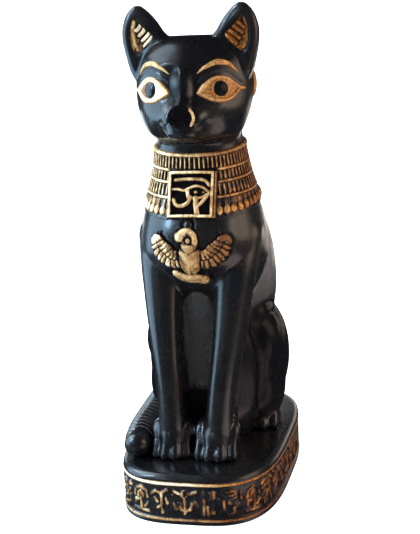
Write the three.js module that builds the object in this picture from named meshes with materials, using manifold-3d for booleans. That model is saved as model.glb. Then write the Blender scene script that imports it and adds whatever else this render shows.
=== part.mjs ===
// A seated cat of the ancient Egyptian kind, cast in one with its plinth and painted black and gold.
// Millimetres, +Z up. The origin is the middle of the plinth's underside and the cat looks along -Y.
import * as THREE from 'three';
import { mergeVertices } from 'three/addons/utils/BufferGeometryUtils.js';
import Module from 'manifold-3d';

const wasm = await Module();
wasm.setup();

// Driving dimensions
const CAT_H = 134.5;
const PLINTH_H = 15.5;
const PLINTH_W = 50;
const PLINTH_D = 84;
const PLINTH_SQUARENESS = 3.34;
const RIM_RADIUS = 2.3;
const FOOT_H = 1.1;
const FOOT_STEP = 0.5;
const LINE_H = 0.9;
const UPPER_LINE_Z = 12.7;
const BAND_DEPTH = 0.6;
const STROKE_W = 0.9;
const STROKE_RAISE = 0.4;
const STROKE_ROOT = 1.6;
const STROKE_PITCH = 13.4;

const COLLAR_T = 0.8;
const RIB_RAISE = 0.45;
const GROOVE_DEPTH = 0.55;
const BAR_COUNT = 26;
const DROP_RAISE = 0.75;
const PLAQUE_W = 14.6;
const PLAQUE_H = 14.4;
const PLAQUE_T = 1.5;
const PLAQUE_FRAME = 1.15;
const PLAQUE_RECESS = 0.9;
const EYE_CORD_R = 0.42;

const EAR_DEPTH = 6.4;
const EAR_HOLLOW = 3.2;
const EAR_ROUND = 2.2;
const EAR_TIP_SHARE = 0.6;
const EAR_RIDGES = 4;
const EAR_RIDGE_R = 0.65;
const EYE_W = 12.6;
const EYE_H = 7.6;
const LID_R = 0.6;
const EYE_TAIL = 2.4;
const PUPIL_R = 2.3;
const BROW_R = 0.7;
const HOOP_R = 3.7;
const HOOP_WIRE = 0.75;
const NOSE_RING_R = 2.9;
const NOSE_RING_WIRE = 0.5;

const TAIL_R = 4.7;
const TAIL_RINGS = 11;
const TAIL_RING_RAISE = 0.35;
const TOES = 4;

// The cat is posed on a grid: this many grid units make its height, measured up from the plinth's top
const GRID = 134.5;
const u = CAT_H / GRID;
const at = (x, y, z) => new THREE.Vector3(x * u, y * u, PLINTH_H + z * u);

const SIDES = [-1, 1];

// Rows of the trunk: height, half width, front and back, in grid units
const TRUNK = [
  [-1.2, 11, -16.4, 34],
  [6.5, 11.8, -16.4, 35.6],
  [17.5, 14.2, -15.8, 34.8],
  [29.5, 17.4, -14.8, 32.3],
  [39.5, 19.3, -14.2, 29.5],
  [46.5, 20.2, -15.6, 27],
  [53.5, 20.7, -19.4, 24.4],
  [59.5, 20.7, -23.2, 21.8],
  [65.3, 19.9, -24, 19.2],
  [70.1, 18.7, -22.9, 16.8],
  [75, 17.3, -20.6, 14.5],
  [79.5, 15.9, -18.5, 12.6],
  [84.5, 14.5, -17.3, 10.5],
  [91.5, 13.3, -16.6, 8.3],
  [95, 13.1, -16, 7.5],
  [99, 12.4, -14, 6.5],
];

// Rows of the head, in the same way
const HEAD = [
  [94.4, 11.6, -19, 4],
  [97, 14.2, -23, 4.8],
  [100.5, 15.9, -24.6, 5.6],
  [104.5, 17.2, -24.6, 6.6],
  [108.5, 17.8, -24, 7.6],
  [112.5, 17.8, -23.4, 8],
  [117.5, 17.1, -22, 6.8],
  [121.3, 15.3, -19.8, 4.4],
  [123.8, 12.5, -17, 1.4],
  [125.2, 8.6, -13.4, -2.6],
];
const TRUNK_SQUARENESS = 2.1;
const HEAD_SQUARENESS = 1.75;

// A smooth reading of one column of such rows at height z
function readRows(rows, z) {
  let i = 0;
  while (i < rows.length - 2 && z > rows[i + 1][0]) i += 1;
  const row = (k) => rows[Math.min(Math.max(k, 0), rows.length - 1)];
  const [p, a, b, q] = [row(i - 1), row(i), row(i + 1), row(i + 2)];
  const t = THREE.MathUtils.clamp((z - a[0]) / (b[0] - a[0]), 0, 1);
  const span = b[0] - a[0];
  return [1, 2, 3].map((c) => {
    const slopeIn = ((b[c] - p[c]) / Math.max(b[0] - p[0], span)) * span;
    const slopeOut = ((q[c] - a[c]) / Math.max(q[0] - a[0], span)) * span;
    const t2 = t * t;
    const t3 = t2 * t;
    return (2 * t3 - 3 * t2 + 1) * a[c] + (t3 - 2 * t2 + t) * slopeIn
      + (3 * t2 - 2 * t3) * b[c] + (t3 - t2) * slopeOut;
  });
}

const power = (value, exponent) => Math.sign(value) * Math.abs(value) ** exponent;

// The point of a row's outline at an angle from the front, moved out by a distance
function rowPoint(rows, squareness, z, angle, out = 0, share = 1) {
  const [half, front, back] = readRows(rows, z);
  const depth = (back - front) / 2;
  const middle = (back + front) / 2;
  const x = (half * u + out) * power(Math.sin(angle), 2 / squareness) * share;
  const y = middle * u - (depth * u + out) * power(Math.cos(angle), 2 / squareness) * share;
  return new THREE.Vector3(x, y, PLINTH_H + z * u);
}

// The front of a row's outline at x, as a depth in grid units
function frontDepth(rows, squareness, x, z) {
  const [half, front, back] = readRows(rows, z);
  const away = Math.min(Math.abs(x) / half, 0.999) ** squareness;
  return (back + front) / 2 - ((back - front) / 2) * (1 - away) ** (1 / squareness);
}
const chestDepth = (x, z) => frontDepth(TRUNK, TRUNK_SQUARENESS, x, z);
const faceDepth = (x, z) => frontDepth(HEAD, HEAD_SQUARENESS, x, z);

// A closed geometry as a solid that can be joined and cut
function solid(geometry) {
  const bare = new THREE.BufferGeometry();
  const source = geometry.index ? geometry.toNonIndexed() : geometry;
  bare.setAttribute('position', source.attributes.position.clone());
  const merged = mergeVertices(bare, 1e-4);
  return new wasm.Manifold(new wasm.Mesh({
    numProp: 3,
    vertProperties: new Float32Array(merged.attributes.position.array),
    triVerts: new Uint32Array(merged.index.array),
  }));
}

const join = (parts) => parts.reduce((whole, part) => whole.add(part));

// Moves every point of a geometry by a rule
function reshape(geometry, rule) {
  const spots = geometry.attributes.position;
  const spot = new THREE.Vector3();
  for (let i = 0; i < spots.count; i += 1) {
    spot.fromBufferAttribute(spots, i);
    const moved = rule(spot);
    spots.setXYZ(i, moved.x, moved.y, moved.z);
  }
  return geometry;
}

// A stack of outlines: a cylinder whose wall at (angle, share of height) goes where the rule says
function stack(around, rows, rule) {
  const drum = new THREE.CylinderGeometry(1, 1, 1, around, rows).rotateX(Math.PI / 2);
  return solid(reshape(drum, (p) => {
    const share = Math.min(Math.hypot(p.x, p.y), 1);
    return rule(Math.atan2(p.x, -p.y), p.z + 0.5, share < 0.5 ? 0 : 1);
  }));
}

// A stack that follows rows of the trunk or head
function rowStack(rows, squareness, around, steps) {
  const low = rows[0][0];
  const high = rows[rows.length - 1][0];
  return stack(around, steps, (angle, t, share) =>
    rowPoint(rows, squareness, low + (high - low) * t, angle, 0, share));
}

// An ellipsoid in grid units, turned by Euler angles
function blob(centre, radii, turn = [0, 0, 0], around = 12, rings = 8) {
  const ball = new THREE.SphereGeometry(1, around, rings).rotateX(Math.PI / 2);
  ball.scale(radii[0] * u, radii[1] * u, radii[2] * u);
  ball.applyMatrix4(new THREE.Matrix4().makeRotationFromEuler(new THREE.Euler(...turn)));
  const place = at(...centre);
  return solid(ball.translate(place.x, place.y, place.z));
}

// The axis that a line of points runs along least
function crossAxis(points) {
  const run = new THREE.Vector3();
  for (let i = 1; i < points.length; i += 1) {
    const step = points[i].clone().sub(points[i - 1]);
    run.add(new THREE.Vector3(Math.abs(step.x), Math.abs(step.y), Math.abs(step.z)));
  }
  if (run.z <= run.x && run.z <= run.y) return new THREE.Vector3(0, 0, 1);
  return run.x <= run.y ? new THREE.Vector3(1, 0, 0) : new THREE.Vector3(0, 1, 0);
}

// A limb along points with a radius at each, in millimetres: its ends are domes of a few rings
function limb(points, radii, sides, steps, domes = 3, ripple = () => 0) {
  const curve = new THREE.CatmullRomCurve3(points, false, 'centripetal');
  const rings = steps + 2 * domes;
  const rod = new THREE.SphereGeometry(1, sides, rings).rotateX(Math.PI / 2);
  const across = crossAxis(points);
  return solid(reshape(rod, (p) => {
    const ring = Math.round((Math.acos(THREE.MathUtils.clamp(-p.z, -1, 1)) / Math.PI) * rings);
    const t = THREE.MathUtils.clamp((ring - domes) / steps, 0, 1);
    const place = t * (radii.length - 1);
    const i = Math.min(Math.floor(place), radii.length - 2);
    const radius = THREE.MathUtils.lerp(radii[i], radii[i + 1], place - i);
    const fromEnd = Math.min(ring, rings - ring, domes) / domes;
    const reach = Math.sin(fromEnd * Math.PI / 2);
    const beyond = radius * Math.cos(fromEnd * Math.PI / 2) * (ring < domes ? -1 : 1);
    const ahead = curve.getTangentAt(t);
    const side = across.clone().cross(ahead).normalize();
    const over = ahead.clone().cross(side);
    const wide = Math.hypot(p.x, p.y) < 1e-6 ? 0 : reach * (radius + ripple(t));
    const turn = Math.atan2(p.y, p.x);
    return curve.getPointAt(t).addScaledVector(ahead, fromEnd < 1 ? beyond : 0)
      .addScaledVector(side, Math.cos(turn) * wide)
      .addScaledVector(over, Math.sin(turn) * wide);
  }));
}

// A thin cord in relief, its ends drawn out
function cord(points, radius, steps, sides = 4) {
  return limb(points, [radius * 0.6, radius, radius, radius, radius * 0.6], sides, steps, 1);
}

// An upright outline in x and z, made solid from the depth y back to front, with rounded edges
function slab(outline, back, thickness, rounding, segments = 2) {
  const shape = new THREE.Shape(outline.map(([x, z]) => new THREE.Vector2(x * u, z * u)));
  const block = new THREE.ExtrudeGeometry(shape, {
    depth: (thickness - 2 * rounding),
    bevelEnabled: rounding > 0,
    bevelThickness: rounding,
    bevelSize: rounding * 0.8,
    bevelOffset: -rounding * 0.8,
    bevelSegments: segments,
  });
  block.rotateX(Math.PI / 2);
  return solid(block.translate(0, back - rounding, PLINTH_H));
}

// Mirrors an outline to the other side, keeping its turning sense
const onSide = (side, outline) => (side > 0 ? outline : outline.map(([x, z]) => [-x, z]).reverse());

// A closed smooth outline through a few points
function smoothOutline(points, count) {
  const curve = new THREE.CatmullRomCurve3(points.map(([x, z]) => new THREE.Vector3(x, z, 0)), true);
  return curve.getPoints(count).slice(0, count).map((p) => [p.x, p.y]);
}

// Plinth

// The plinth's plan at an angle, set in from the edge
function planPoint(angle, inset) {
  const exponent = 2 / PLINTH_SQUARENESS;
  return new THREE.Vector2(
    (PLINTH_W / 2 - inset) * power(Math.sin(angle), exponent),
    -(PLINTH_D / 2 - inset) * power(Math.cos(angle), exponent),
  );
}

// The plan walked at an even pace: the place and outward direction at each distance
function planWalk(inset) {
  const fine = 720;
  const spots = [];
  let length = 0;
  for (let i = 0; i <= fine; i += 1) {
    const spot = planPoint((i / fine) * Math.PI * 2, inset);
    if (i > 0) length += spot.distanceTo(spots[i - 1].spot);
    spots.push({ spot, length });
  }
  return {
    length,
    read(distance) {
      const wanted = ((distance % length) + length) % length;
      const i = Math.max(spots.findIndex((s) => s.length > wanted), 1);
      const along = spots[i].spot.clone().sub(spots[i - 1].spot).normalize();
      return { spot: spots[i].spot.clone(), out: new THREE.Vector2(along.y, -along.x) };
    },
  };
}

function plinthBlock() {
  const lowLine = FOOT_H + LINE_H / 2;
  const rimZ = PLINTH_H - RIM_RADIUS;
  const rim = (share) => [
    rimZ + RIM_RADIUS * Math.sin(share * Math.PI / 2),
    RIM_RADIUS * (1 - Math.cos(share * Math.PI / 2)),
  ];
  const profile = [
    [0, FOOT_STEP * 1.2],
    [lowLine - LINE_H / 2, FOOT_STEP],
    [lowLine, FOOT_STEP / 2],
    [lowLine + LINE_H / 2, BAND_DEPTH],
    [UPPER_LINE_Z - LINE_H / 2, BAND_DEPTH],
    [UPPER_LINE_Z, 0],
    rim(0.55),
    rim(1),
  ];
  const walk = planWalk(0);
  const around = 32;
  const angles = [];
  for (let i = 0; i < around; i += 1) {
    const { spot } = walk.read((i / around) * walk.length);
    angles.push(Math.atan2(power(spot.x / (PLINTH_W / 2), PLINTH_SQUARENESS / 2),
      -power(spot.y / (PLINTH_D / 2), PLINTH_SQUARENESS / 2)));
  }
  return stack(around, profile.length - 1, (angle, t, share) => {
    const [z, inset] = profile[Math.round(t * (profile.length - 1))];
    const step = Math.round((angle / (Math.PI * 2)) * around);
    const spot = planPoint(angles[(step + around) % around], inset).multiplyScalar(share);
    return new THREE.Vector3(spot.x, spot.y, z);
  });
}

// Strokes on the plinth's band: bars, bows and slants in turn, none of them a letter
function plinthStrokes() {
  const walk = planWalk(BAND_DEPTH);
  const low = FOOT_H + LINE_H;
  const high = UPPER_LINE_Z - LINE_H / 2;
  const tall = high - low;
  const groups = Math.round(walk.length / STROKE_PITCH);
  const pitch = walk.length / groups;
  const strokes = [];
  const stroke = (along, height, width, length, lean) => {
    const { spot, out } = walk.read(along);
    const bar = new THREE.BoxGeometry(width, STROKE_ROOT + STROKE_RAISE, length);
    bar.translate(0, (STROKE_ROOT - STROKE_RAISE) / 2, 0);
    bar.rotateY(lean);
    bar.rotateZ(Math.atan2(out.y, out.x) + Math.PI / 2);
    strokes.push(solid(bar.translate(spot.x, spot.y, low + height * tall)));
  };
  for (let i = 0; i < groups; i += 1) {
    const place = (i + 0.5) * pitch;
    const kind = i % 4;
    if (kind === 0) {
      stroke(place, 0.45, STROKE_W, tall * 0.66, 0);
      stroke(place, 0.84, STROKE_W, pitch * 0.55, Math.PI / 2);
    } else if (kind === 1) {
      stroke(place - pitch * 0.14, 0.6, STROKE_W, tall * 0.45, 0.5);
      stroke(place + pitch * 0.2, 0.6, STROKE_W, tall * 0.45, -0.5);
      stroke(place, 0.18, STROKE_W, pitch * 0.62, Math.PI / 2);
    } else if (kind === 2) {
      stroke(place - pitch * 0.2, 0.5, STROKE_W, tall * 0.7, 0);
      stroke(place + pitch * 0.2, 0.3, STROKE_W, tall * 0.36, -0.4);
    } else {
      stroke(place, 0.75, STROKE_W, pitch * 0.6, Math.PI / 2 - 0.35);
      stroke(place, 0.35, STROKE_W, tall * 0.45, 0.35);
    }
  }
  return strokes;
}

// Trunk, legs and tail

function foreleg(side) {
  const path = [
    at(side * 11.8, -8, 65), at(side * 11.3, -12.4, 55), at(side * 10.6, -16.2, 44),
    at(side * 9.6, -19.4, 34), at(side * 8.6, -21.8, 26), at(side * 7.8, -23.4, 18.5),
    at(side * 7.3, -24.4, 11), at(side * 7.1, -24.8, 1.5),
  ];
  const radii = [7.8, 7, 6.1, 5.35, 4.7, 4.2, 4.05, 4.3, 4.8].map((r) => r * u);
  // The leg is deep from front to back: a second limb runs behind the first
  const behind = [
    at(side * 10.6, -9, 44), at(side * 9.6, -11.8, 34), at(side * 8.6, -14.2, 26),
    at(side * 7.8, -15.8, 18.5), at(side * 7.3, -16.6, 11), at(side * 7.1, -16.8, 1.5),
  ];
  return join([
    limb(path, radii, 9, 7, 1),
    limb(behind, [5.8, 5, 4.3, 4.1, 4.2, 4.6].map((r) => r * u), 8, 4, 1),
  ]);
}

// The belly between the forelegs
const belly = () => blob([0, -7.5, 22], [9.5, 8.8, 32], [0, 0, 0], 10, 6);

// A paw: an oval pad whose front is drawn out into toes with grooves between them
function paw(side, middle, length, half, tall) {
  const around = 4 * TOES;
  const ball = new THREE.SphereGeometry(1, around, 6).rotateX(Math.PI / 2);
  const centre = at(side * middle[0], middle[1], tall * 0.3);
  return solid(reshape(ball, (p) => {
    const angle = Math.atan2(p.x, -p.y);
    const column = Math.round((angle / (2 * Math.PI)) * around);
    const forward = Math.max(Math.cos(angle), 0);
    const low = 1 - Math.max(p.z, 0) ** 2;
    const toe = forward > 0.1 && column % 2 === 0 ? -0.16 * low : 0.04 * forward;
    const reach = Math.hypot(p.x, p.y) * (1 + toe);
    const x = half * u * reach * power(Math.sin(angle), 0.75);
    const y = -length / 2 * u * reach * power(Math.cos(angle), 0.75);
    return new THREE.Vector3(x, y, p.z * tall * 0.7 * u).add(centre);
  }));
}

function haunch(side) {
  return join([
    blob([side * 12.4, 13.5, 24], [10, 18.8, 21.8], [-0.3, 0, 0], 12, 8),
    blob([side * 13.2, 3, 19], [7, 8, 16.5], [0.12, 0, 0], 8, 5),
    blob([side * 9, 22.5, 7], [10.6, 12.6, 11], [0, 0, 0], 8, 5),
  ]);
}

function tail() {
  const flat = TAIL_R / u - 0.5;
  const path = [
    at(-6, 35.6, flat), at(-14.6, 34, flat), at(-18.9, 27.4, flat + 0.4), at(-19.6, 12, flat + 0.4),
    at(-19.6, -4, flat), at(-19.1, -14, flat), at(-17.6, -24.2, flat - 0.3),
  ];
  const radii = [TAIL_R * 1.1, TAIL_R * 1.08, TAIL_R, TAIL_R, TAIL_R * 0.93];
  const steps = 2 * TAIL_RINGS;
  const ring = (t) => (Math.round(t * steps) % 2 ? TAIL_RING_RAISE : -TAIL_RING_RAISE);
  return limb(path, radii, 6, steps, 1, ring);
}

// Head

// The outline of an ear's front, from its inner foot over the tip to its outer foot
const EAR = [
  [5.8, 122.6], [8.4, 127.2], [10.3, 130.2], [12.8, 133], [15, 134.4], [16.7, 134.2],
  [18.9, 132], [20.4, 128.4], [20.7, 124.6], [19.7, 119.4], [17.8, 113.6], [14, 109], [8, 112],
];
const EAR_BACK = -7.2;
const EAR_ROOT_Z = 120;
// The hollow of the ear, inside its rim
const EAR_OPENING = [
  [14.8, 131.4], [12.6, 128.4], [10.9, 124.2], [13.4, 121.4],
  [17.1, 118.8], [18.3, 122.6], [18.4, 127.4], [16.9, 130.2],
];

function ear(side) {
  const front = EAR_BACK * u - EAR_DEPTH;
  const body = slab(onSide(side, EAR), EAR_BACK * u, EAR_DEPTH, EAR_ROUND, 1);
  const opening = onSide(side, smoothOutline(EAR_OPENING, 10));
  const cutter = slab(opening, front + EAR_HOLLOW, 2 * EAR_HOLLOW, 1.2, 1);
  const parts = [body.subtract(cutter)];
  // The ridges lie on the hollow's floor, a little under half their thickness sunk in it
  const onFloor = (x, z) => {
    const spot = at(side * x, 0, z);
    spot.y = front + EAR_HOLLOW - EAR_RIDGE_R * 0.4;
    return spot;
  };
  for (let i = 0; i < EAR_RIDGES; i += 1) {
    const x = 11.6 + i * 1.25;
    const z = 125.8 - i * 1.35;
    parts.push(cord([onFloor(x, z), onFloor(x + 0.8, z + 1.1), onFloor(x + 1.4, z + 2)], EAR_RIDGE_R, 1, 3));
  }
  // From its root to its tip the ear grows thinner, down to the tip's share of its depth
  const root = at(0, 0, EAR_ROOT_Z).z;
  const tip = PLINTH_H + CAT_H;
  return join(parts).warp((spot) => {
    const climb = THREE.MathUtils.clamp((spot[2] - root) / (tip - root), 0, 1);
    spot[1] = front + (spot[1] - front) * THREE.MathUtils.lerp(1, EAR_TIP_SHARE, climb);
  });
}

// An eye seen along its way out of the face: its middle and how far it is turned along the cheek
const EYE = { x: 9.4, z: 110.2, slant: 0.66 };

// An eye: a lid that draws out to a point at the outer corner, the ball inside it and the pupil
function eye(side) {
  const middle = at(side * EYE.x, faceDepth(EYE.x, EYE.z), EYE.z);
  const along = new THREE.Vector3(side * Math.cos(EYE.slant), Math.sin(EYE.slant), 0);
  const out = new THREE.Vector3(side * Math.sin(EYE.slant), -Math.cos(EYE.slant), 0);
  const half = EYE_W / 2;
  const tall = EYE_H / 2;
  const lid = 2 * LID_R;
  const ballInset = lid * 2.4;
  // Each row: how far in from the lid's outer edge, how round, and how far out of the face
  const rows = [
    [0, 0, -2.6], [0, 0, 0.1], [lid * 0.5, 0, 0.9], [lid, 0, 0.3],
    [ballInset, 0.4, 0.8], [ballInset, 1, 0.85], [ballInset, 0.96, 1.2],
  ];
  return stack(16, rows.length - 1, (angle, t, share) => {
    const [inset, round, lift] = rows[Math.round(t * (rows.length - 1))];
    const cos = Math.cos(angle);
    const sin = side * Math.sin(angle);
    const corner = Math.max(cos, 0) ** 12;
    const almondX = (half - inset) * power(cos, 0.9) + EYE_TAIL * corner;
    const almondZ = (tall - inset) * power(sin, 1.2) - EYE_TAIL * 0.25 * corner;
    const s = THREE.MathUtils.lerp(almondX, PUPIL_R * cos, round) * share;
    const h = THREE.MathUtils.lerp(almondZ, PUPIL_R * sin, round) * share;
    const bow = lift - 0.028 * s * s;
    return middle.clone().addScaledVector(along, s).addScaledVector(out, bow).add(new THREE.Vector3(0, 0, h));
  });
}

function brow(side) {
  const points = [];
  for (let i = 0; i <= 6; i += 1) {
    const t = i / 6;
    const x = 4.4 + 10 * t;
    const z = 115.2 + 3.1 * Math.sin(t * Math.PI * 0.7) ** 1.3 - 3.4 * t * t * t;
    points.push(at(side * x, faceDepth(x, z) - 0.15, z));
  }
  return limb(points, [BROW_R * 0.7, BROW_R, BROW_R, BROW_R * 0.8, BROW_R * 0.4], 4, 5, 1);
}

// A place on the face's middle line, this far behind the head's own front
const onFace = (z, behind) => [0, faceDepth(0, z) + behind, z];
const NOSE_Z = 105.2;
const NOSE_BEHIND = -1;
const NOSE_RADII = [2.5, 1.7, 1.7];

function muzzle() {
  return join([
    blob(onFace(102.2, 5), [7.8, 8, 5.4], [0, 0, 0], 12, 6),
    blob(onFace(109, 2.6), [3, 3.2, 8], [0.2, 0, 0], 8, 6),
    blob(onFace(NOSE_Z, NOSE_BEHIND), NOSE_RADII, [0.2, 0, 0], 8, 5),
    blob(onFace(98.8, 1.1), [4.2, 3.8, 2.4], [0, 0, 0], 8, 5),
  ]);
}

// A hoop: its middle, its radius, its wire, and its turns about Z and X
function hoop(spot, radius, wire, turnZ, tilt) {
  const ring = new THREE.TorusGeometry(radius, wire, 4, 10);
  ring.rotateX(Math.PI / 2 + tilt);
  ring.rotateZ(turnZ);
  return solid(ring.translate(spot.x, spot.y, spot.z));
}

// The nose ring hangs from the nose, half its wire sunk into the nose's tip
function noseRing() {
  const nose = at(...onFace(NOSE_Z, NOSE_BEHIND));
  const tip = nose.y - NOSE_RADII[1] * u;
  const spot = new THREE.Vector3(0.2, tip + NOSE_RING_WIRE / 2, nose.z - NOSE_RING_R * 0.9);
  return hoop(spot, NOSE_RING_R, NOSE_RING_WIRE, 0, 0.12);
}

// An earring lies against the head's side, its wire half sunk
const EAR_RING_Z = 110;
const EAR_RING_ANGLE = 1.77;

function earRing(side) {
  const spot = rowPoint(HEAD, HEAD_SQUARENESS, EAR_RING_Z, side * EAR_RING_ANGLE, -HOOP_WIRE / 2);
  return hoop(spot, HOOP_R, HOOP_WIRE, side * 1.35, 0);
}

// Collar

// The collar's lower edge at the front and the height of each row above it, in grid units
const COLLAR_LOW = 72.3;
const DROP_ROW_H = 6;
const LOWER_ROW_H = 4.3;
const MIDDLE_ROW_H = 3.6;
const UPPER_ROW_H = 4.4;
const COLLAR_LEVELS = {
  low: COLLAR_LOW,
  drops: COLLAR_LOW + DROP_ROW_H,
  lower: COLLAR_LOW + DROP_ROW_H + LOWER_ROW_H,
  upper: COLLAR_LOW + DROP_ROW_H + LOWER_ROW_H + MIDDLE_ROW_H,
  top: COLLAR_LOW + DROP_ROW_H + LOWER_ROW_H + MIDDLE_ROW_H + UPPER_ROW_H,
};
// How far each edge and rib rises at the back
const COLLAR_RISE = { low: 3.4, drops: 2, lower: 2, upper: 2.2, top: 2.6 };
const levelZ = (name, angle) => COLLAR_LEVELS[name] + COLLAR_RISE[name] * (1 - Math.cos(angle)) / 2 * 1.5;

// The collar from its lower edge up. A row holds a level, a lift from it, how far out the wall stands,
// and how deep the wall is cut between the bars or drops
function collarShell() {
  const rib = COLLAR_T + RIB_RAISE;
  const drop = COLLAR_T + DROP_RAISE;
  const rows = [['low', 0, -COLLAR_T, 0], ['low', 0.2, COLLAR_T * 0.6, 0]];
  rows.push(['low', 1.7, drop, DROP_RAISE], ['drops', -1.4, drop, DROP_RAISE]);
  for (const [lower, upper] of [['drops', 'lower'], ['lower', 'upper'], ['upper', 'top']]) {
    rows.push([lower, 0, rib, 0]);
    rows.push([lower, 0.6, COLLAR_T, GROOVE_DEPTH], [upper, -0.6, COLLAR_T, GROOVE_DEPTH]);
  }
  rows.push(['top', 0, rib, 0], ['top', 0.6, COLLAR_T * 0.3, 0]);
  const around = 2 * BAR_COUNT;
  return stack(around, rows.length - 1, (angle, t, share) => {
    const [name, lift, out, cut] = rows[Math.round(t * (rows.length - 1))];
    const column = Math.round((angle / (2 * Math.PI)) * around);
    const groove = column % 2 === 0 ? 0 : cut;
    return rowPoint(TRUNK, TRUNK_SQUARENESS, levelZ(name, angle) + lift, angle, out - groove, share);
  });
}

// The square plaque at the front, its sunk window and the eye amulet raised in it
const PLAQUE_Z = 79.4;

function plaque() {
  const lean = Math.atan2(chestDepth(0, PLAQUE_Z + 6) - chestDepth(0, PLAQUE_Z - 6), 12);
  const middle = at(0, chestDepth(0, PLAQUE_Z) - 0.1, PLAQUE_Z);
  const place = (box, out) => {
    box.translate(0, -out, 0);
    box.rotateX(-lean);
    return solid(box.translate(middle.x, middle.y, middle.z));
  };
  const front = COLLAR_T + PLAQUE_T;
  const inner = [PLAQUE_W - 2 * PLAQUE_FRAME, PLAQUE_H - 2 * PLAQUE_FRAME];
  const block = place(new THREE.BoxGeometry(PLAQUE_W, front + 4, PLAQUE_H), (front - 4) / 2);
  const window = place(new THREE.BoxGeometry(inner[0], 2 * PLAQUE_RECESS, inner[1]), front);
  const half = [inner[0] / 2, inner[1] / 2];
  const spot = (x, z) => {
    const p = new THREE.Vector3(x * half[0], -(front - PLAQUE_RECESS), z * half[1]);
    return p.applyAxisAngle(new THREE.Vector3(1, 0, 0), -lean).add(middle);
  };
  const line = (points, steps) => cord(points.map(([x, z]) => spot(x, z)), EYE_CORD_R, steps, 3);
  const dot = new THREE.IcosahedronGeometry(0.95, 0);
  const pupil = spot(0.12, 0.06);
  return [
    block.subtract(window),
    line([[-0.82, 0.66], [0, 0.74], [0.55, 0.66], [0.88, 0.42]], 3),
    line([[-0.95, 0.4], [-0.4, 0.32], [0.1, 0.4], [0.5, 0.36], [0.84, 0.02]], 5),
    line([[-0.35, 0.26], [-0.12, -0.2], [0.3, -0.24], [0.84, 0.02]], 4),
    line([[0.2, -0.24], [0.28, -0.6], [0.24, -0.96]], 1),
    line([[-0.06, -0.2], [-0.35, -0.56], [-0.72, -0.6], [-0.88, -0.3]], 4),
    solid(dot.translate(pupil.x, pupil.y, pupil.z)),
  ];
}

// Winged scarab on the chest

// The line along a wing's upper edge, from its root up to its tip
const WING_LINE = [[3, 63.1], [5.5, 63.7], [7.3, 65.1], [8.6, 66.6], [9.6, 68.2], [10, 69.4]];
const WING_W = 4.8;
const WING_ARM_W = 1.7;
const WING_T = 1;
const FEATHERS = 6;
const FEATHER_STEP = 0.35;

// A wing: a curved plate on the chest, its arm raised and its long edge cut into feather tips
function wing(side) {
  const line = new THREE.CatmullRomCurve3(WING_LINE.map(([x, z]) => new THREE.Vector3(x, z, 0)));
  const plate = reshape(new THREE.BoxGeometry(1, 1, 1, 2 * FEATHERS, 2, 1), (p) => {
    const t = p.x + 0.5;
    const spot = line.getPoint(t);
    const ahead = line.getTangent(t);
    const between = Math.round(t * 2 * FEATHERS) % 2 === 0;
    const tipReach = (between ? 0.82 : 1) * WING_W * (1 - 0.5 * t * t);
    const reach = [tipReach, WING_ARM_W, 0][Math.round((p.y + 0.5) * 2)];
    const dip = between && p.y < 0.5 ? FEATHER_STEP : 0;
    const x = spot.x + ahead.y * reach;
    const z = spot.y - ahead.x * reach;
    return at(x * side, chestDepth(x, z) - (p.z > 0 ? WING_T - dip : -WING_T) / u, z);
  });
  if (side < 0) plate.setIndex(Array.from(plate.index.array).reverse());
  return solid(plate);
}

function pendant() {
  const on = (x, z, lift = 0) => [x, chestDepth(x, z) - lift, z];
  const parts = [
    blob(on(0, 71.2, 0.2), [1, 1.1, 1.2], [0, 0, 0], 7, 5),
    blob(on(-0.4, 67), [2.9, 1.4, 2.5], [0, 0, 0], 8, 5),
    blob(on(0.2, 60.7), [3.2, 1.6, 4.8], [0, 0, 0], 8, 6),
  ];
  const fan = [[-5.2, 56.3], [-3.4, 54.9], [0.4, 54.2], [4.4, 54.2]];
  parts.push(cord(fan.map(([x, z]) => at(...on(x, z))), 1.4 * u, 3, 5));
  for (const side of SIDES) parts.push(wing(side));
  return parts;
}

// The whole figure

const parts = [
  plinthBlock(),
  ...plinthStrokes(),
  rowStack(TRUNK, TRUNK_SQUARENESS, 18, 13),
  rowStack(HEAD, HEAD_SQUARENESS, 20, 9),
  muzzle(),
  belly(),
  tail(),
  collarShell(),
  ...plaque(),
  ...pendant(),
  noseRing(),
];
for (const side of SIDES) {
  parts.push(
    foreleg(side),
    paw(side, [6.9, -24.5], 14.6, 6.4, 10.4),
    haunch(side),
    paw(side, [14.2, 7], 18.4, 6.5, 9.4),
    ear(side),
    eye(side),
    brow(side),
    earRing(side),
  );
}

const joined = join(parts).getMesh();
const figure = new THREE.BufferGeometry();
figure.setAttribute('position', new THREE.BufferAttribute(Float32Array.from(joined.vertProperties), 3));
figure.setIndex(new THREE.BufferAttribute(Uint32Array.from(joined.triVerts), 1));
figure.computeVertexNormals();

const paint = new THREE.MeshStandardMaterial({ color: 0x15161a, roughness: 0.25, metalness: 0 });
const cast = new THREE.Mesh(figure, paint);
cast.name = 'bastet_cat';

const part = new THREE.Group();
part.add(cast);
export default part;
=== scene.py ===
import math

import bpy
import numpy as np
from mathutils import Matrix, Vector


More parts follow.
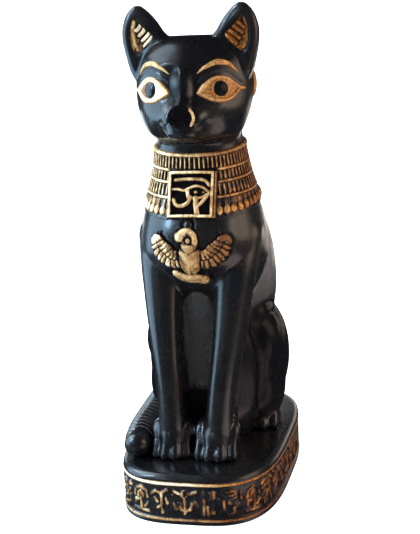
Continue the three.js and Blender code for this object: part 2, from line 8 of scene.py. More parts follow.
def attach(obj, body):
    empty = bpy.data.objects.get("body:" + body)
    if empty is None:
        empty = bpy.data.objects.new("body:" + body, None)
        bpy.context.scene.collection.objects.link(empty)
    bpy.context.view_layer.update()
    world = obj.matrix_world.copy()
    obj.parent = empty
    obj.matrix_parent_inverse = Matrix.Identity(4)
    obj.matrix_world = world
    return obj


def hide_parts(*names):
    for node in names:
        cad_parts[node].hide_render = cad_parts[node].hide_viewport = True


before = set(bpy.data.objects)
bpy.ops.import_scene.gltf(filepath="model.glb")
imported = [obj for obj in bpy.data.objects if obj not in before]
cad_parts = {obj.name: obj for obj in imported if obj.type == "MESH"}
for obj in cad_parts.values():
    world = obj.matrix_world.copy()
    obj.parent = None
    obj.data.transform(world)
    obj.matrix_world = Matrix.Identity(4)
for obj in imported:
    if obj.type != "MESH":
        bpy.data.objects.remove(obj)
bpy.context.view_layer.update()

NODE = "bastet_cat"
MM = 0.001
PLINTH_TOP = 15.5
SIDES = (-1, 1)


# Small mathematics on whole arrays


def smooth(low, high, x):
    """0 below low, 1 above high, and t * t * (3 - 2 * t) between."""
    t = np.clip((x - low) / (high - low), 0, 1)
    return t * t * (3 - 2 * t)


def between(x, low, full, fading, high):
    """0 outside low and high, 1 between full and fading, smooth on the way."""
    return smooth(low, full, x) * smooth(high, fading, x)


def bell(distance, width):
    """A soft ridge: e to the minus square of distance over width."""
    return np.exp(-((distance / width) ** 2))


def highest(*heights):
    """The greatest of several fields at every spot."""
    return np.maximum.reduce(heights)


def oval(x, z, middle, radii=(1, 1)):
    """Distance from a middle measured in radii, so that it is 1 on the ellipse's edge."""
    return np.hypot((x - middle[0]) / radii[0], (z - middle[1]) / radii[1])


def grid(a, b):
    """Two grids of values: a runs down the rows and b along them."""
    return np.meshgrid(a, b, indexing="ij")


def full_turn(count):
    """Angles that share out one turn evenly."""
    return np.arange(count) / count * 2 * np.pi


def power(value, exponent):
    """A power that keeps the sign of its value."""
    return np.sign(value) * np.abs(value) ** exponent


def unit(vectors):
    """Vectors along the last axis, each divided by its length."""
    return vectors / np.maximum(np.linalg.norm(vectors, axis=-1, keepdims=True), 1e-9)


def read_rows(rows, z):
    """The columns of a table of rows at height z: cubic pieces that pass through every row."""
    rows = np.asarray(rows, float)
    heights, values = rows[:, 0], rows[:, 1:]
    slopes = np.gradient(values, heights, axis=0)
    slopes[1:-1] = (values[2:] - values[:-2]) / (heights[2:] - heights[:-2])[:, None]
    i = np.clip(np.searchsorted(heights, z) - 1, 0, len(heights) - 2)
    span = (heights[i + 1] - heights[i])[..., None]
    t = np.clip((z[..., None] - heights[i][..., None]) / span, 0, 1)
    return (
        (2 * t**3 - 3 * t**2 + 1) * values[i]
        + (t**3 - 2 * t**2 + t) * span * slopes[i]
        + (3 * t**2 - 2 * t**3) * values[i + 1]
        + (t**3 - t**2) * span * slopes[i + 1]
    )


def spline(points, share):
    """A smooth line through the points, read at shares of its length from 0 to 1."""
    points = np.asarray(points, float)
    knots = np.arange(len(points), dtype=float)
    fine = read_rows(np.column_stack([knots, points]), np.linspace(0, knots[-1], 60 * len(points)))
    steps = np.linalg.norm(np.diff(fine, axis=0), axis=1)
    along = np.concatenate([[0], np.cumsum(steps)]) / steps.sum()
    return np.stack([np.interp(share, along, fine[:, k]) for k in range(fine.shape[1])], axis=-1)


def curve(points, count):
    """A smooth line through the points, as evenly spaced spots."""
    return spline(points, np.linspace(0, 1, count))


def line_distance(x, z, points):
    """Distance of each spot from a line of straight pieces, how far along the line its nearest
    place is (0 to 1), and on which side of it the spot lies (positive is to the right)."""
    points = np.asarray(points, float)
    lengths = np.linalg.norm(np.diff(points, axis=0), axis=1)
    starts = np.concatenate([[0], np.cumsum(lengths)])
    best = np.full(np.shape(x), 1e9)
    along = np.zeros(np.shape(x))
    side = np.ones(np.shape(x))
    for a, b, length, start in zip(points[:-1], points[1:], lengths, starts):
        d = (b - a) / length
        t = np.clip((x - a[0]) * d[0] + (z - a[1]) * d[1], 0, length)
        gap = np.hypot(x - a[0] - t * d[0], z - a[1] - t * d[1])
        nearer = gap < best
        turn = (x - a[0]) * d[1] - (z - a[1]) * d[0]
        best = np.where(nearer, gap, best)
        along = np.where(nearer, (start + t) / starts[-1], along)
        side = np.where(nearer, np.where(turn >= 0, 1.0, -1.0), side)
    return best, along, side


def gap_to(x, z, points):
    """Distance of each spot from a line of straight pieces."""
    return line_distance(x, z, points)[0]


def signed_gap(x, z, points):
    """Distance from a line of straight pieces, negative to its left."""
    gap, _, side = line_distance(x, z, points)
    return gap * side


def cord_height(distance, radius):
    """Height of a round cord half sunk in a surface: the square root of r * r - d * d."""
    return np.sqrt(np.maximum(radius**2 - distance**2, 0))


def wander(x, y, seed):
    """A soft unevenness between -1 and 1: a sum of sine waves in fixed, unrelated directions."""
    rng = np.random.default_rng(seed)
    total = np.zeros(np.broadcast(x, y).shape)
    for _ in range(5):
        a, b, c = rng.uniform(-1, 1), rng.uniform(-1, 1), rng.uniform(0, 6.28)
        total = total + np.sin(a * x + b * y + c)
    return total / 5


# Meshes from grids


def grid_faces(rows, columns, around, ring):
    """Quads between neighbours of a grid, joined round where a direction closes."""
    ids = np.arange(rows * columns).reshape(rows, columns)
    if around:
        ids = np.concatenate([ids, ids[:, :1]], axis=1)
    if ring:
        ids = np.concatenate([ids, ids[:1]], axis=0)
    corners = [ids[:-1, :-1], ids[:-1, 1:], ids[1:, 1:], ids[1:, :-1]]
    return np.stack(corners, axis=-1).reshape(-1, 4)


def fan(start, middle):
    """Triangles from each two neighbours of a closed row to one middle vertex."""
    return np.stack([np.roll(start, -1), start, np.full(len(start), middle)], axis=-1).tolist()


def sheet_mesh(points, around=False, ring=False, poles=False):
    """Vertices and faces of one grid of points. With poles, a fan closes the first and last row
    at the row's middle."""
    rows, columns = points.shape[:2]
    verts = points.reshape(-1, 3)
    faces = grid_faces(rows, columns, around, ring).tolist()
    if poles:
        verts = np.concatenate([verts, [points[0].mean(axis=0), points[-1].mean(axis=0)]])
        start = np.arange(columns)
        last = fan(start + (rows - 1) * columns, rows * columns + 1)
        faces += fan(start, rows * columns) + [[b, a, c] for a, b, c in last]
    return verts, faces


def outward(verts, faces, inside):
    """Turns all faces over where their area, weighed by the way out from inside, looks inwards."""
    corners = np.array([(f[0], f[1], f[2], f[-1]) for f in faces])
    p = verts[corners]
    normals = np.cross(p[:, 2] - p[:, 0], p[:, 3] - p[:, 1])
    away = p.mean(axis=1) - inside
    if np.sum(normals * away) < 0:
        return [f[::-1] for f in faces]
    return faces


def add_object(name, verts, faces, material=None):
    """A smooth object at the origin, made of points in millimetres, with its paint."""
    mesh = bpy.data.meshes.new(name)
    mesh.from_pydata((np.asarray(verts) * MM).tolist(), [], faces)
    if faces:
        mesh.polygons.foreach_set("use_smooth", np.ones(len(mesh.polygons), bool))
    if material:
        mesh.materials.append(material)
    added = bpy.data.objects.new(name, mesh)
    bpy.context.scene.collection.objects.link(added)
    return added


def new_piece(name, verts, faces, material, fields):
    """A piece of the cat with its painted fields, one value for each vertex."""
    piece = add_object(name, verts, faces, material)
    for field, values in fields.items():
        layer = piece.data.attributes.new(field, "FLOAT", "POINT")
        layer.data.foreach_set("value", np.asarray(values, np.float32))
    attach(piece, "root")
    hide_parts(NODE)
    return piece


def surface_piece(name, points, material, fields, inside=None, **closing):
    """A piece that is one grid of points, with fields given on the same grid."""
    verts, faces = sheet_mesh(points, **closing)
    faces = outward(verts, faces, verts.mean(axis=0) if inside is None else inside)
    flat = {}
    for field, values in fields.items():
        ends = [values[0].mean(), values[-1].mean()] if closing.get("poles") else []
        flat[field] = np.concatenate([values.reshape(-1), ends])
    return new_piece(name, verts, faces, material, flat)


# Paints


class Value:
    """A node's output that takes part in Python expressions by adding Math nodes."""

    def __init__(self, paint, socket):
        self.paint = paint
        self.socket = socket

    def _with(self, operation, first, second):
        return self.paint.node("ShaderNodeMath", {"operation": operation}, {0: first, 1: second})

    def __add__(self, other):
        return self._with("ADD", self, other)

    def __sub__(self, other):
        return self._with("SUBTRACT", self, other)

    def __rsub__(self, other):
        return self._with("SUBTRACT", other, self)

    def __mul__(self, other):
        return self._with("MULTIPLY", self, other)

    __radd__ = __add__
    __rmul__ = __mul__


class Paint:
    """A material being built: its nodes, its one shader and the values that feed it."""

    def __init__(self, name):
        self.material = bpy.data.materials.new(name)
        self.material.use_nodes = True
        self.tree = self.material.node_tree
        self.tree.nodes.clear()
        self.place = self.node("ShaderNodeTexCoord", {}, {}, "Object")

    def node(self, kind, settings, inputs, output=0):
        """Adds a node: its settings first, then each socket's value or link."""
        node = self.tree.nodes.new(kind)
        for key, value in settings.items():
            if key == "stops":
                ramp = node.color_ramp
                while len(ramp.elements) < len(value):
                    ramp.elements.new(0.5)
                for element, (position, colour) in zip(ramp.elements, value):
                    element.position = position
                    element.color = (*colour, 1)
            else:
                setattr(node, key, value)
        for key, value in inputs.items():
            if isinstance(value, Value):
                self.tree.links.new(value.socket, node.inputs[key])
            else:
                node.inputs[key].default_value = value
        return Value(self, node.outputs[output])

    def field(self, name):
        """A field painted on the piece's own vertices."""
        settings = {"attribute_type": "GEOMETRY", "attribute_name": name}
        return self.node("ShaderNodeAttribute", settings, {}, "Fac")

    def noise(self, size_mm, detail=3.0, roughness=0.5, stretch=(1, 1, 1)):
        """Uneven patches of about one size, drawn out along an axis by a stretch below 1."""
        placed = self.node("ShaderNodeMapping", {}, {"Vector": self.place, "Scale": stretch})
        inputs = {"Vector": placed, "Detail": detail, "Roughness": roughness}
        inputs["Scale"] = 1 / (size_mm * MM)
        return self.node("ShaderNodeTexNoise", {}, inputs, "Fac")

    def step(self, value, low, high):
        """0 below low, 1 above high, smooth between."""
        inputs = {"Value": value, "From Min": low, "From Max": high}
        return self.node("ShaderNodeMapRange", {"interpolation_type": "SMOOTHSTEP"}, inputs)

    def ramp(self, value, *stops):
        """A colour read from stops of position and colour."""
        return self.node("ShaderNodeValToRGB", {"stops": stops}, {"Fac": value}, "Color")

    def mix(self, share, first, second):
        """One colour over another by a share."""
        first, second = (c if isinstance(c, Value) else (*c, 1) for c in (first, second))
        inputs = {0: share, 6: first, 7: second}
        return self.node("ShaderNodeMix", {"data_type": "RGBA"}, inputs, 2)

    def blend(self, share, first, second):
        """One number over another by a share."""
        return self.node("ShaderNodeMix", {"data_type": "FLOAT"}, {0: share, 2: first, 3: second})

    def bump(self, height, depth_mm, strength, under=None):
        """A fine relief of a depth, over one already there."""
        inputs = {"Height": height, "Distance": depth_mm * MM, "Strength": strength}
        if under is not None:
            inputs["Normal"] = under
        return self.node("ShaderNodeBump", {}, inputs, "Normal")

    def finish(self, **inputs):
        """Joins the values to the shader and the shader to the material. Where the piece's shade
        field is 1, a dull near-black takes over: painted shade, darkening there and hiding
        reflections."""
        inputs = {key.replace("_", " "): value for key, value in inputs.items()}
        shader = self.node("ShaderNodeBsdfPrincipled", {}, inputs)
        painted_shade_black = self.node("ShaderNodeBsdfDiffuse", {}, {"Color": (0.0025, 0.0022, 0.0028, 1)})
        shader = self.node("ShaderNodeMixShader", {}, {0: self.field("shade"), 1: shader, 2: painted_shade_black})
        output = self.tree.nodes.new("ShaderNodeOutputMaterial")
        self.tree.links.new(shader.socket, output.inputs["Surface"])
        return self.material


def black_enamel(paint):
    """Colour, roughness and relief of the gloss black paint: brown-black and blue-black patches,
    long brush marks, the soft unevenness of the casting and a little dust. Where the piece's
    sheen field is above 0 it is painted greyer: a painted sheen that stands in for reflected light."""
    patches = paint.noise(9, 2.0)
    streaks = paint.noise(1.1, 4.0, 0.6, (1, 1, 0.22))
    grain = paint.noise(0.35, 2.0)
    dust = paint.step(paint.noise(0.5, 5.0, 0.75), 0.68, 0.8)
    base = paint.ramp(patches, (0.3, (0.0022, 0.0026, 0.0042)), (0.7, (0.005, 0.0038, 0.0032)))
    colour = paint.mix(dust * 0.15, base, (0.035, 0.032, 0.03))
    # Painted sheen: a grey laid over the black where reflected light is painted in
    colour = paint.mix(paint.field("rubbed") * (0.7 + streaks * 0.6), colour, (0.092, 0.086, 0.082))
    rough = 0.175 + patches * 0.12 + streaks * 0.08 + dust * 0.15
    height = patches * 0.5 + streaks * 0.05
    return colour, rough, paint.bump(grain, 0.003, 0.02, paint.bump(height, 0.1, 0.2))


def brushed_gold(paint, thick):
    """Colour, roughness and brush marks of the gold paint: light where it is thick, bronze and
    brown where it is thin, in short strokes. The gold is painted paler on the cat's right side and
    more orange on its left side: painted light, for cool window light on the one side and a warm
    lamp on the other."""
    patches = paint.noise(2.0, 3.0, 0.6)
    strokes = paint.noise(0.5, 4.0, 0.65, (1, 1, 0.4))
    across = paint.node("ShaderNodeSeparateXYZ", {}, {"Vector": paint.place}, "X")
    # Painted light: paler towards the cat's right side (-x), more orange towards its left
    tone = patches * 0.38 + strokes * 0.5 + thick * 0.36 - across * 4 - 0.14
    pale = paint.ramp(
        tone,
        (0.4, (0.03, 0.012, 0.006)),
        (0.56, (0.2, 0.095, 0.03)),
        (0.72, (0.5, 0.33, 0.14)),
        (0.94, (0.88, 0.8, 0.6)),
    )
    deep = paint.ramp(
        tone,
        (0.38, (0.03, 0.006, 0.003)),
        (0.54, (0.17, 0.05, 0.008)),
        (0.72, (0.42, 0.16, 0.022)),
        (0.96, (0.78, 0.46, 0.13)),
    )
    colour = paint.mix(paint.step(across, -0.002, 0.02), pale, deep)
    return colour, 0.32 + strokes * 0.2, strokes


# What every paint of the cat shares: clear gloss over the colour
GLOSS = {"IOR": 1.5, "Coat_Weight": 0.2}


def make_black():
    """The plain gloss black of the cat's skin."""
    paint = Paint("gloss_black_enamel")
    colour, rough, normal = black_enamel(paint)
    return paint.finish(
        Base_Color=colour, Roughness=rough, Normal=normal, Coat_Roughness=0.1, **GLOSS
    )


def make_gilded():
    """Black enamel with gold brushed over the raised work: the piece's gilt field, torn by the
    dry brush, says where gold is and how thick."""
    paint = Paint("gold_brushed_over_black")
    black, black_rough, black_normal = black_enamel(paint)
    field = paint.field("gilt")
    gold, gold_rough, strokes = brushed_gold(paint, field)
    torn = paint.noise(0.6, 4.0, 0.7)
    gilt = paint.step(field + (torn - 0.5) * 0.8, 0.4, 0.58)
    return paint.finish(
        Base_Color=paint.mix(gilt, black, gold),
        Roughness=paint.blend(gilt, black_rough, gold_rough),
        Metallic=gilt * 0.5,
        Normal=paint.bump(strokes * gilt, 0.06, 0.5, black_normal),
        Coat_Roughness=0.2,
        **GLOSS,
    )


def make_eye_paint():
    """The eyes' paints: gold lids, amber iris and a black pupil, each where its field says."""
    paint = Paint("eye_paints")
    black, black_rough, black_normal = black_enamel(paint)
    field = paint.field("gilt")
    gold, gold_rough, strokes = brushed_gold(paint, field)
    torn = paint.noise(0.5, 3.0, 0.65)
    gilt = paint.step(field + (torn - 0.5) * 0.4, 0.4, 0.6)
    amber = paint.step(paint.field("iris") + (torn - 0.5) * 0.5, 0.35, 0.65)
    iris = paint.ramp(
        torn,
        (0.3, (0.04, 0.011, 0.003)),
        (0.5, (0.2, 0.066, 0.009)),
        (0.7, (0.42, 0.19, 0.035)),
    )
    return paint.finish(
        Base_Color=paint.mix(amber, paint.mix(gilt, black, gold), iris),
        Roughness=paint.blend(gilt, black_rough, gold_rough),
        Metallic=gilt * 0.4,
        Normal=paint.bump(strokes, 0.03, 0.4, black_normal),
        Coat_Roughness=0.08,
        **GLOSS,
    )


BLACK = make_black()
GILDED = make_gilded()
EYE_PAINT = make_eye_paint()


# The cat's skin: closed forms that are grown together

# Rows of the trunk: height above the plinth, half width, front and back
TRUNK = [
    [-1.2, 11, -16.4, 34], [6.5, 11.8, -16.4, 35.6], [17.5, 14.2, -15.8, 34.8],
    [29.5, 17.4, -14.8, 32.3], [39.5, 19.3, -14.2, 29.5], [46.5, 20.2, -15.6, 27],
    [53.5, 20.7, -19.4, 24.4], [59.5, 20.7, -23.2, 21.8], [65.3, 19.9, -24, 19.2],
    [70.1, 18.7, -22.9, 16.8], [75, 17.3, -20.6, 14.5], [79.5, 15.9, -18.5, 12.6],
    [84.5, 14.5, -17.3, 10.5], [91.5, 13.3, -16.6, 8.3], [95, 13.1, -16, 7.5], [99, 12.4, -14, 6.5],
]
# Rows of the head, in the same way
HEAD = [
    [94.4, 11.6, -19, 4], [97, 14.2, -23, 4.8], [100.5, 15.9, -24.6, 5.6],
    [104.5, 17.2, -24.6, 6.6], [108.5, 17.8, -24, 7.6], [112.5, 17.8, -23.4, 8],
    [117.5, 17.1, -22, 6.8], [121.3, 15.3, -19.8, 4.4], [123.8, 12.5, -17, 1.4],
    [125.2, 8.6, -13.4, -2.6],
]
TRUNK_SQUARENESS = 2.1
HEAD_SQUARENESS = 1.75


def row_points(rows, squareness, z, angle, out=0.0):
    """A point of a row's outline at an angle from the front, moved out: x is the half width
    times a power of the sine, y the half depth times the same power of the cosine."""
    half, front, back = np.moveaxis(read_rows(rows, z), -1, 0)
    x = (half + out) * power(np.sin(angle), 2 / squareness)
    y = (back + front) / 2 - ((back - front) / 2 + out) * power(np.cos(angle), 2 / squareness)
    return np.stack([x, y, z + PLINTH_TOP + 0 * x], axis=-1)


def row_form(rows, squareness, steps, sides):
    """A closed form through all the rows."""
    z, angle = grid(np.linspace(rows[0][0], rows[-1][0], steps), full_turn(sides))
    return row_points(rows, squareness, z, angle)


def ball_form(centre, radii, turn_x=0.0, steps=24, sides=32):
    """An ellipsoid: each coordinate is a radius times the sine or cosine of two angles, turned
    about X."""
    v, a = grid(np.linspace(0.02, np.pi - 0.02, steps), full_turn(sides))
    p = np.stack([np.sin(v) * np.cos(a), np.sin(v) * np.sin(a), np.cos(v)], axis=-1) * radii
    turn = np.array(Matrix.Rotation(turn_x, 3, "X"))
    return p @ turn.T + np.asarray(centre, float) + (0, 0, PLINTH_TOP)


def limb_form(path, radii, across, steps=60, sides=28, domes=8, ripple=None):
    """A tube along a smooth path whose radius is read from a list; its ends are half balls."""
    t = np.linspace(0, 1, steps)
    spots = spline(path, t)
    ahead = unit(np.gradient(spots, axis=0))
    side = unit(np.cross(across, ahead))
    over = np.cross(ahead, side)
    radius = read_rows(np.column_stack([np.linspace(0, 1, len(radii)), radii]), t)[:, 0]
    if ripple is not None:
        radius = radius + ripple(t)
    cap = np.linspace(0.06, 1, domes, endpoint=False) * np.pi / 2
    low = spots[0] - ahead[0] * (radius[0] * np.cos(cap))[:, None]
    high = spots[-1] + ahead[-1] * (radius[-1] * np.cos(cap[::-1]))[:, None]
    centres = np.concatenate([low, spots, high])
    wide = np.concatenate([radius[0] * np.sin(cap), radius, radius[-1] * np.sin(cap[::-1])])
    side, over = (np.pad(v, ((domes, domes), (0, 0)), "edge")[:, None] for v in (side, over))
    turn = full_turn(sides)[:, None]
    ring = np.cos(turn) * side + np.sin(turn) * over
    return centres[:, None] + wide[:, None, None] * ring + (0, 0, PLINTH_TOP)


# The outline of an ear's front, and the hollow inside its rim
EAR = [
    [5.8, 122.6], [8.4, 127.2], [10.3, 130.2], [12.8, 133], [15, 134.4], [16.7, 134.2], [18.9, 132],
    [20.3, 128.4], [20.5, 124.6], [19.6, 119.4], [17.8, 113.6], [14, 110.5], [9, 114],
]
EAR_OPENING = [
    [16.2, 130.9], [14.5, 129.1], [12.7, 127.3], [10.8, 125.4], [12.7, 122.8], [16.1, 120.4],
    [17.4, 122.8], [17.7, 126], [17.2, 129],
]
# Depths of the rim's front and of the back, the hollow's depth, and where the tip is cut level
EAR_FRONT = -13.6
EAR_BACK = -7.2
EAR_HOLLOW = 3.4
EAR_TIP_Z = 149.85

# The middle line of the left foreleg, from the shoulder down
FORELEG = [
    (11.8, -8, 65), (11.3, -12.4, 55), (10.6, -16.2, 44), (9.6, -19.4, 34), (8.6, -21.8, 26),
    (7.8, -23.4, 18.5), (7.3, -24.4, 11), (7.1, -24.8, 1.5),
]


def ear_outline(points, angle):
    """A closed smooth outline read at an angle: the spline closed on itself."""
    closed = np.array(points[-1:] + points + points[:2], float)
    fine = curve(closed, 400)
    middle = np.mean(points, axis=0)
    turn = np.unwrap(np.arctan2(fine[:, 1] - middle[1], fine[:, 0] - middle[0]))
    order = np.argsort(turn)
    low = turn[order][0]
    wanted = (angle - low) % (2 * np.pi) + low
    radius = np.hypot(fine[:, 0] - middle[0], fine[:, 1] - middle[1])
    return np.interp(wanted, turn[order], radius[order]), middle


def ear_spots(middle, radius, angle):
    """Spots in x and z at a radius and an angle from a middle."""
    return middle[0] + radius * np.cos(angle), middle[1] + radius * np.sin(angle)


def ear_floor(share):
    """Depth of the hollow in an ear: deepest at its middle, less by the share's third power."""
    return EAR_FRONT + 0.25 + EAR_HOLLOW * (1 - np.minimum(share, 1) ** 3)


def ear_bend(z, depth):
    """Depths drawn towards the ear's front at its thin tip and away from it at its foot."""
    front = EAR_FRONT + 0.8
    return front + (depth - front) * np.interp(z, [112, 122, 134.4], [1.15, 1.0, 0.55])


def ear_shape(side):
    """An ear as rings round its middle: the hollow's floor, the rim, the wall and the back."""
    angle = full_turn(96)
    outer, middle = ear_outline(EAR, angle)
    inner, inner_middle = ear_outline(EAR_OPENING, angle)
    foot = np.array(ear_spots(inner_middle, inner, angle))
    edge = np.array(ear_spots(middle, outer, angle))
    rings = []
    for share in (0.04, 0.3, 0.55, 0.75, 0.9, 0.98):
        rings.append((ear_spots(inner_middle, inner * share, angle), ear_floor(share)))
    for share in (0.0, 0.2, 0.45, 0.7, 0.88, 0.97, 1.0):
        bulge = 0.9 * (2 * share - 0.75) ** 2 * (share > 0.375)
        rings.append((foot + (edge - foot) * share, EAR_FRONT + bulge))
    for share in (0.15, 0.4, 0.7, 1.0):
        rings.append((edge, EAR_FRONT + 0.9 + share * (EAR_BACK - EAR_FRONT - 3.1)))
    for share in (0.97, 0.88, 0.7, 0.45, 0.2, 0.04):
        back = EAR_BACK - 2.2 + 2.2 * np.sqrt(1 - share**2)
        rings.append((ear_spots(middle, outer * share, angle), back))
    points = []
    for (x, z), depth in rings:
        points.append(np.stack([side * x, ear_bend(z, depth), z + PLINTH_TOP], axis=-1))
    return np.stack(points)


def paw_forms(x, y_front, spread, tall, knuckle):
    """A paw: a ball for its back, and four toes, each a thick limb that comes forward over a round
    knuckle and goes down to the floor."""
    radii = (spread * 0.86, 8, tall * 0.6)
    forms = [ball_form((x, y_front + 10.2, tall * 0.42), radii, 0.42)]
    widths = [spread * 0.18, spread * knuckle, spread * 0.2, spread * 0.27]
    for place in (-1.5, -0.5, 0.5, 1.5):
        toe = x + place * spread * 0.485
        back = 0.75 * place**2
        path = [
            (x + (toe - x) * 0.8, y_front + 10.5 + back * 0.5, tall * 0.8),
            (toe, y_front + 6.6 + back, tall * 0.7),
            (toe, y_front + 3.6 + back, tall * 0.38),
            (toe, y_front + 2.2 + back, 1.4),
        ]
        forms.append(limb_form(path, widths, (1, 0, 0)))
    return forms


def body_forms():
    """Every closed form of the cat's skin."""
    forms = [
        row_form(TRUNK, TRUNK_SQUARENESS, 150, 120),
        row_form(HEAD, HEAD_SQUARENESS, 80, 120),
        ball_form((0, -3, 22), (17, 13.4, 32), 0, 50, 60),
        ball_form((0, -23.4, 98.6), (4.6, 3.2, 2.3)),
    ]
    for side in SIDES:
        leg = [(side * x, y, z) for x, y, z in FORELEG]
        forms.append(limb_form(leg, [7.8, 7, 6.1, 5.35, 4.7, 4.2, 4.05, 4.3, 4.8], (1, 0, 0)))
        for back in (5.2, 9.6):
            behind = [
                (x * (1 - back * 0.004), y + back * (0.6 + 0.4 * smooth(60, 30, z)), z)
                for x, y, z in leg[2:]
            ]
            forms.append(limb_form(behind, [5.6, 5.1, 4.5, 4.1, 3.95, 4.1, 4.4], (1, 0, 0)))
        forms += paw_forms(side * 6.9 - 0.3, -32.2, 6.6 + side * 0.35, 12.6, 0.285)
        forms += [
            ball_form((side * 12.4, 12, 21.8), (10.4, 17, 18.9), -0.15, 50, 70),
            ball_form((side * 12.6, 4.6, 28.4), (9.6, 9.6, 11.8), 0, 40, 60),
            ball_form((side * 12.8, 8, 14), (9.4, 13, 16), 0, 40, 60),
            ball_form((side * 9, 22.5, 7), (10.6, 12.6, 11)),
        ]
        forms += paw_forms(side * 14.2, -2.6, 6.8, 11.6, 0.3)
        forms.append(ear_shape(side))
    return forms


# The edge of the cubes that the forms are grown together on
VOXEL = 0.58


def grow_together(forms):
    """Joins closed forms into one skin on a fine grid of cubes, and gives back its mesh."""
    verts, faces, count = [], [], 0
    for form in forms:
        own_verts, own_faces = sheet_mesh(form, around=True, poles=True)
        own_faces = outward(own_verts, own_faces, own_verts.mean(axis=0))
        faces += [[i + count for i in face] for face in own_faces]
        verts.append(own_verts)
        count += len(own_verts)
    block = add_object("skin_forms", np.concatenate(verts), faces)
    remesh = block.modifiers.new("grow_together", "REMESH")
    remesh.mode = "VOXEL"
    remesh.voxel_size = VOXEL * MM
    seen = block.evaluated_get(bpy.context.evaluated_depsgraph_get())
    whole = bpy.data.meshes.new_from_object(seen)
    bpy.data.objects.remove(block)
    return whole


def mesh_points(mesh):
    """A mesh's vertices in millimetres."""
    flat = np.empty(len(mesh.vertices) * 3)
    mesh.vertices.foreach_get("co", flat)
    return flat.reshape(-1, 3) / MM


def plan(points):
    """x, y and height above the plinth of points in rows."""
    return (points - (0, 0, PLINTH_TOP)).T


def relax(points, edges, share, rounds):
    """Each vertex moves towards the middle of its neighbours by its share, and in every second
    round a little away again so that the form doesn't shrink."""
    a, b = edges.T
    total = len(points)
    count = (np.bincount(a, minlength=total) + np.bincount(b, minlength=total))[:, None]
    share = np.broadcast_to(share, total)[:, None]
    for i in range(rounds):
        sums = [
            np.bincount(a, points[b, k], total) + np.bincount(b, points[a, k], total)
            for k in range(3)
        ]
        push = share if i % 2 == 0 else -0.85 * share
        points = points + push * (np.stack(sums, axis=1) / count - points)
    return points


# The winged scarab's plan: lines in x and height above the plinth, with half widths along them
WING = [(3.0, 60.8), (4.4, 60.8), (5.9, 61.2), (7.3, 62.3), (8.8, 63.7), (9.9, 65.6)]
WING_HALF = [1.9, 2.15, 2.3, 2.5, 2.2, 1.5]
SCARAB_TAIL = [(-4.6, 56.3), (-3.2, 55.3), (-0.9, 54.7), (1.4, 54.6), (3.2, 54.3)]
TAIL_HALF = [0.85, 1.15, 1.2, 1.35, 1.35]
HOOD = [(-2.6, 67.2), (-2.1, 68.3), (-0.8, 68.8), (0.6, 68.4), (1.5, 67.3), (1.6, 65.9)]
HOOD_R = 0.54
# Its round parts: the body, a lobe of the hood, the boss and the bead over it
BODY = (0.15, 60.8)
BODY_RADII = (3.2, 4.8)
LOBE = (-2.7, 67.4)
BOSS = (-0.1, 66.4)
BEAD = (-0.3, 70.9)


def read_evenly(values, share):
    """A list read at shares of its length from 0 to 1."""
    return np.interp(share, np.linspace(0, 1, len(values)), values)


def wing_measures(x, z):
    """Distance across a wing from its middle line, signed, how far along it, and its half width."""
    gap, along, side = line_distance(np.abs(x), z, curve(WING, 24))
    return gap * side, along, read_evenly(WING_HALF, along)


def scarab_gap(x, z):
    """Distance from the edge of the scarab, negative inside: the least of its parts' own."""
    across, _, half = wing_measures(x, z)
    body = (oval(x, z, BODY, BODY_RADII) - 1) * BODY_RADII[0]
    hood = gap_to(x, z, HOOD) - HOOD_R
    disc = oval(x, z, BOSS) - 1.8
    bead = oval(x, z, BEAD) - 0.9
    tail_gap, tail_along, _ = line_distance(x, z, SCARAB_TAIL)
    tail = tail_gap - read_evenly(TAIL_HALF, tail_along)
    return np.minimum.reduce([np.abs(across) - half, body, hood, disc, bead, tail])


# Small dark spikes at a wing's tip
SPIKES = [(10.9, 66.9), (10.1, 67.7), (9.1, 68.1)]

# The rear edge of the shoulder and foreleg, as a line in depth and height, with a hollow behind it
SHOULDER_EDGE = [(-2.6, 69), (-4.5, 60), (-7, 50), (-9.5, 40), (-12, 30), (-14.5, 20), (-16, 10)]
# The groove round the top and front of the haunch, in the same way
HAUNCH_EDGE = [
    (24, 33), (12, 38.9), (5, 40.6), (1, 40.9), (-1.6, 40.5), (-3.3, 39.2), (-4.1, 36.6), (-4, 30),
    (-3.9, 22), (-3.7, 15), (-3.5, 9),
]
# The edge of the belly's panel between the forelegs, as a line in x and height
PANEL_EDGE = [
    (-5.2, 18.4), (-5.4, 30), (-5.2, 41), (-4.2, 46.2), (-1.8, 48.8), (0.8, 49), (3.2, 47.4),
    (4.6, 43), (4.9, 30), (4.4, 18.2), (-5.2, 18.4),
]


def dome(x, z, middle, radii, sharpness=1.3):
    """A soft swelling: e to the minus a power of the elliptical distance from the middle."""
    r2 = ((x - middle[0]) / radii[0]) ** 2 + ((z - middle[1]) / radii[1]) ** 2
    return np.exp(-(r2**sharpness))


def face_swell(x, z):
    """How far the face stands out of the head's plain form: muzzle, chin, ridge of the nose, nose
    pad, brows' shelf and cheeks, less the hollows between ridge and eyes and under the cheeks."""
    side = np.abs(x)
    swell = 2.3 * dome(x, z, (0, 101.8), (6.6, 5.0)) + 0.5 * dome(side, z, (3.4, 101.6), (2.6, 2.4))
    swell = swell + 1.15 * bell(x, 2.0) * between(z, 103.5, 107, 113, 118.5)
    swell = swell + 0.8 * dome(x, z, (0, 105.4), (2.8, 1.7), 1.6)
    swell = swell - 0.75 * dome(side, z, (4.3, 110.6), (2.2, 4.2), 1.1)
    swell = swell + 0.55 * dome(side, z, (8.2, 117.3), (5.5, 1.6))
    swell = swell + 0.4 * dome(side, z, (11, 104.4), (4, 2.2))
    return swell - 0.5 * dome(side, z, (7.8, 99.0), (2.6, 2.4))


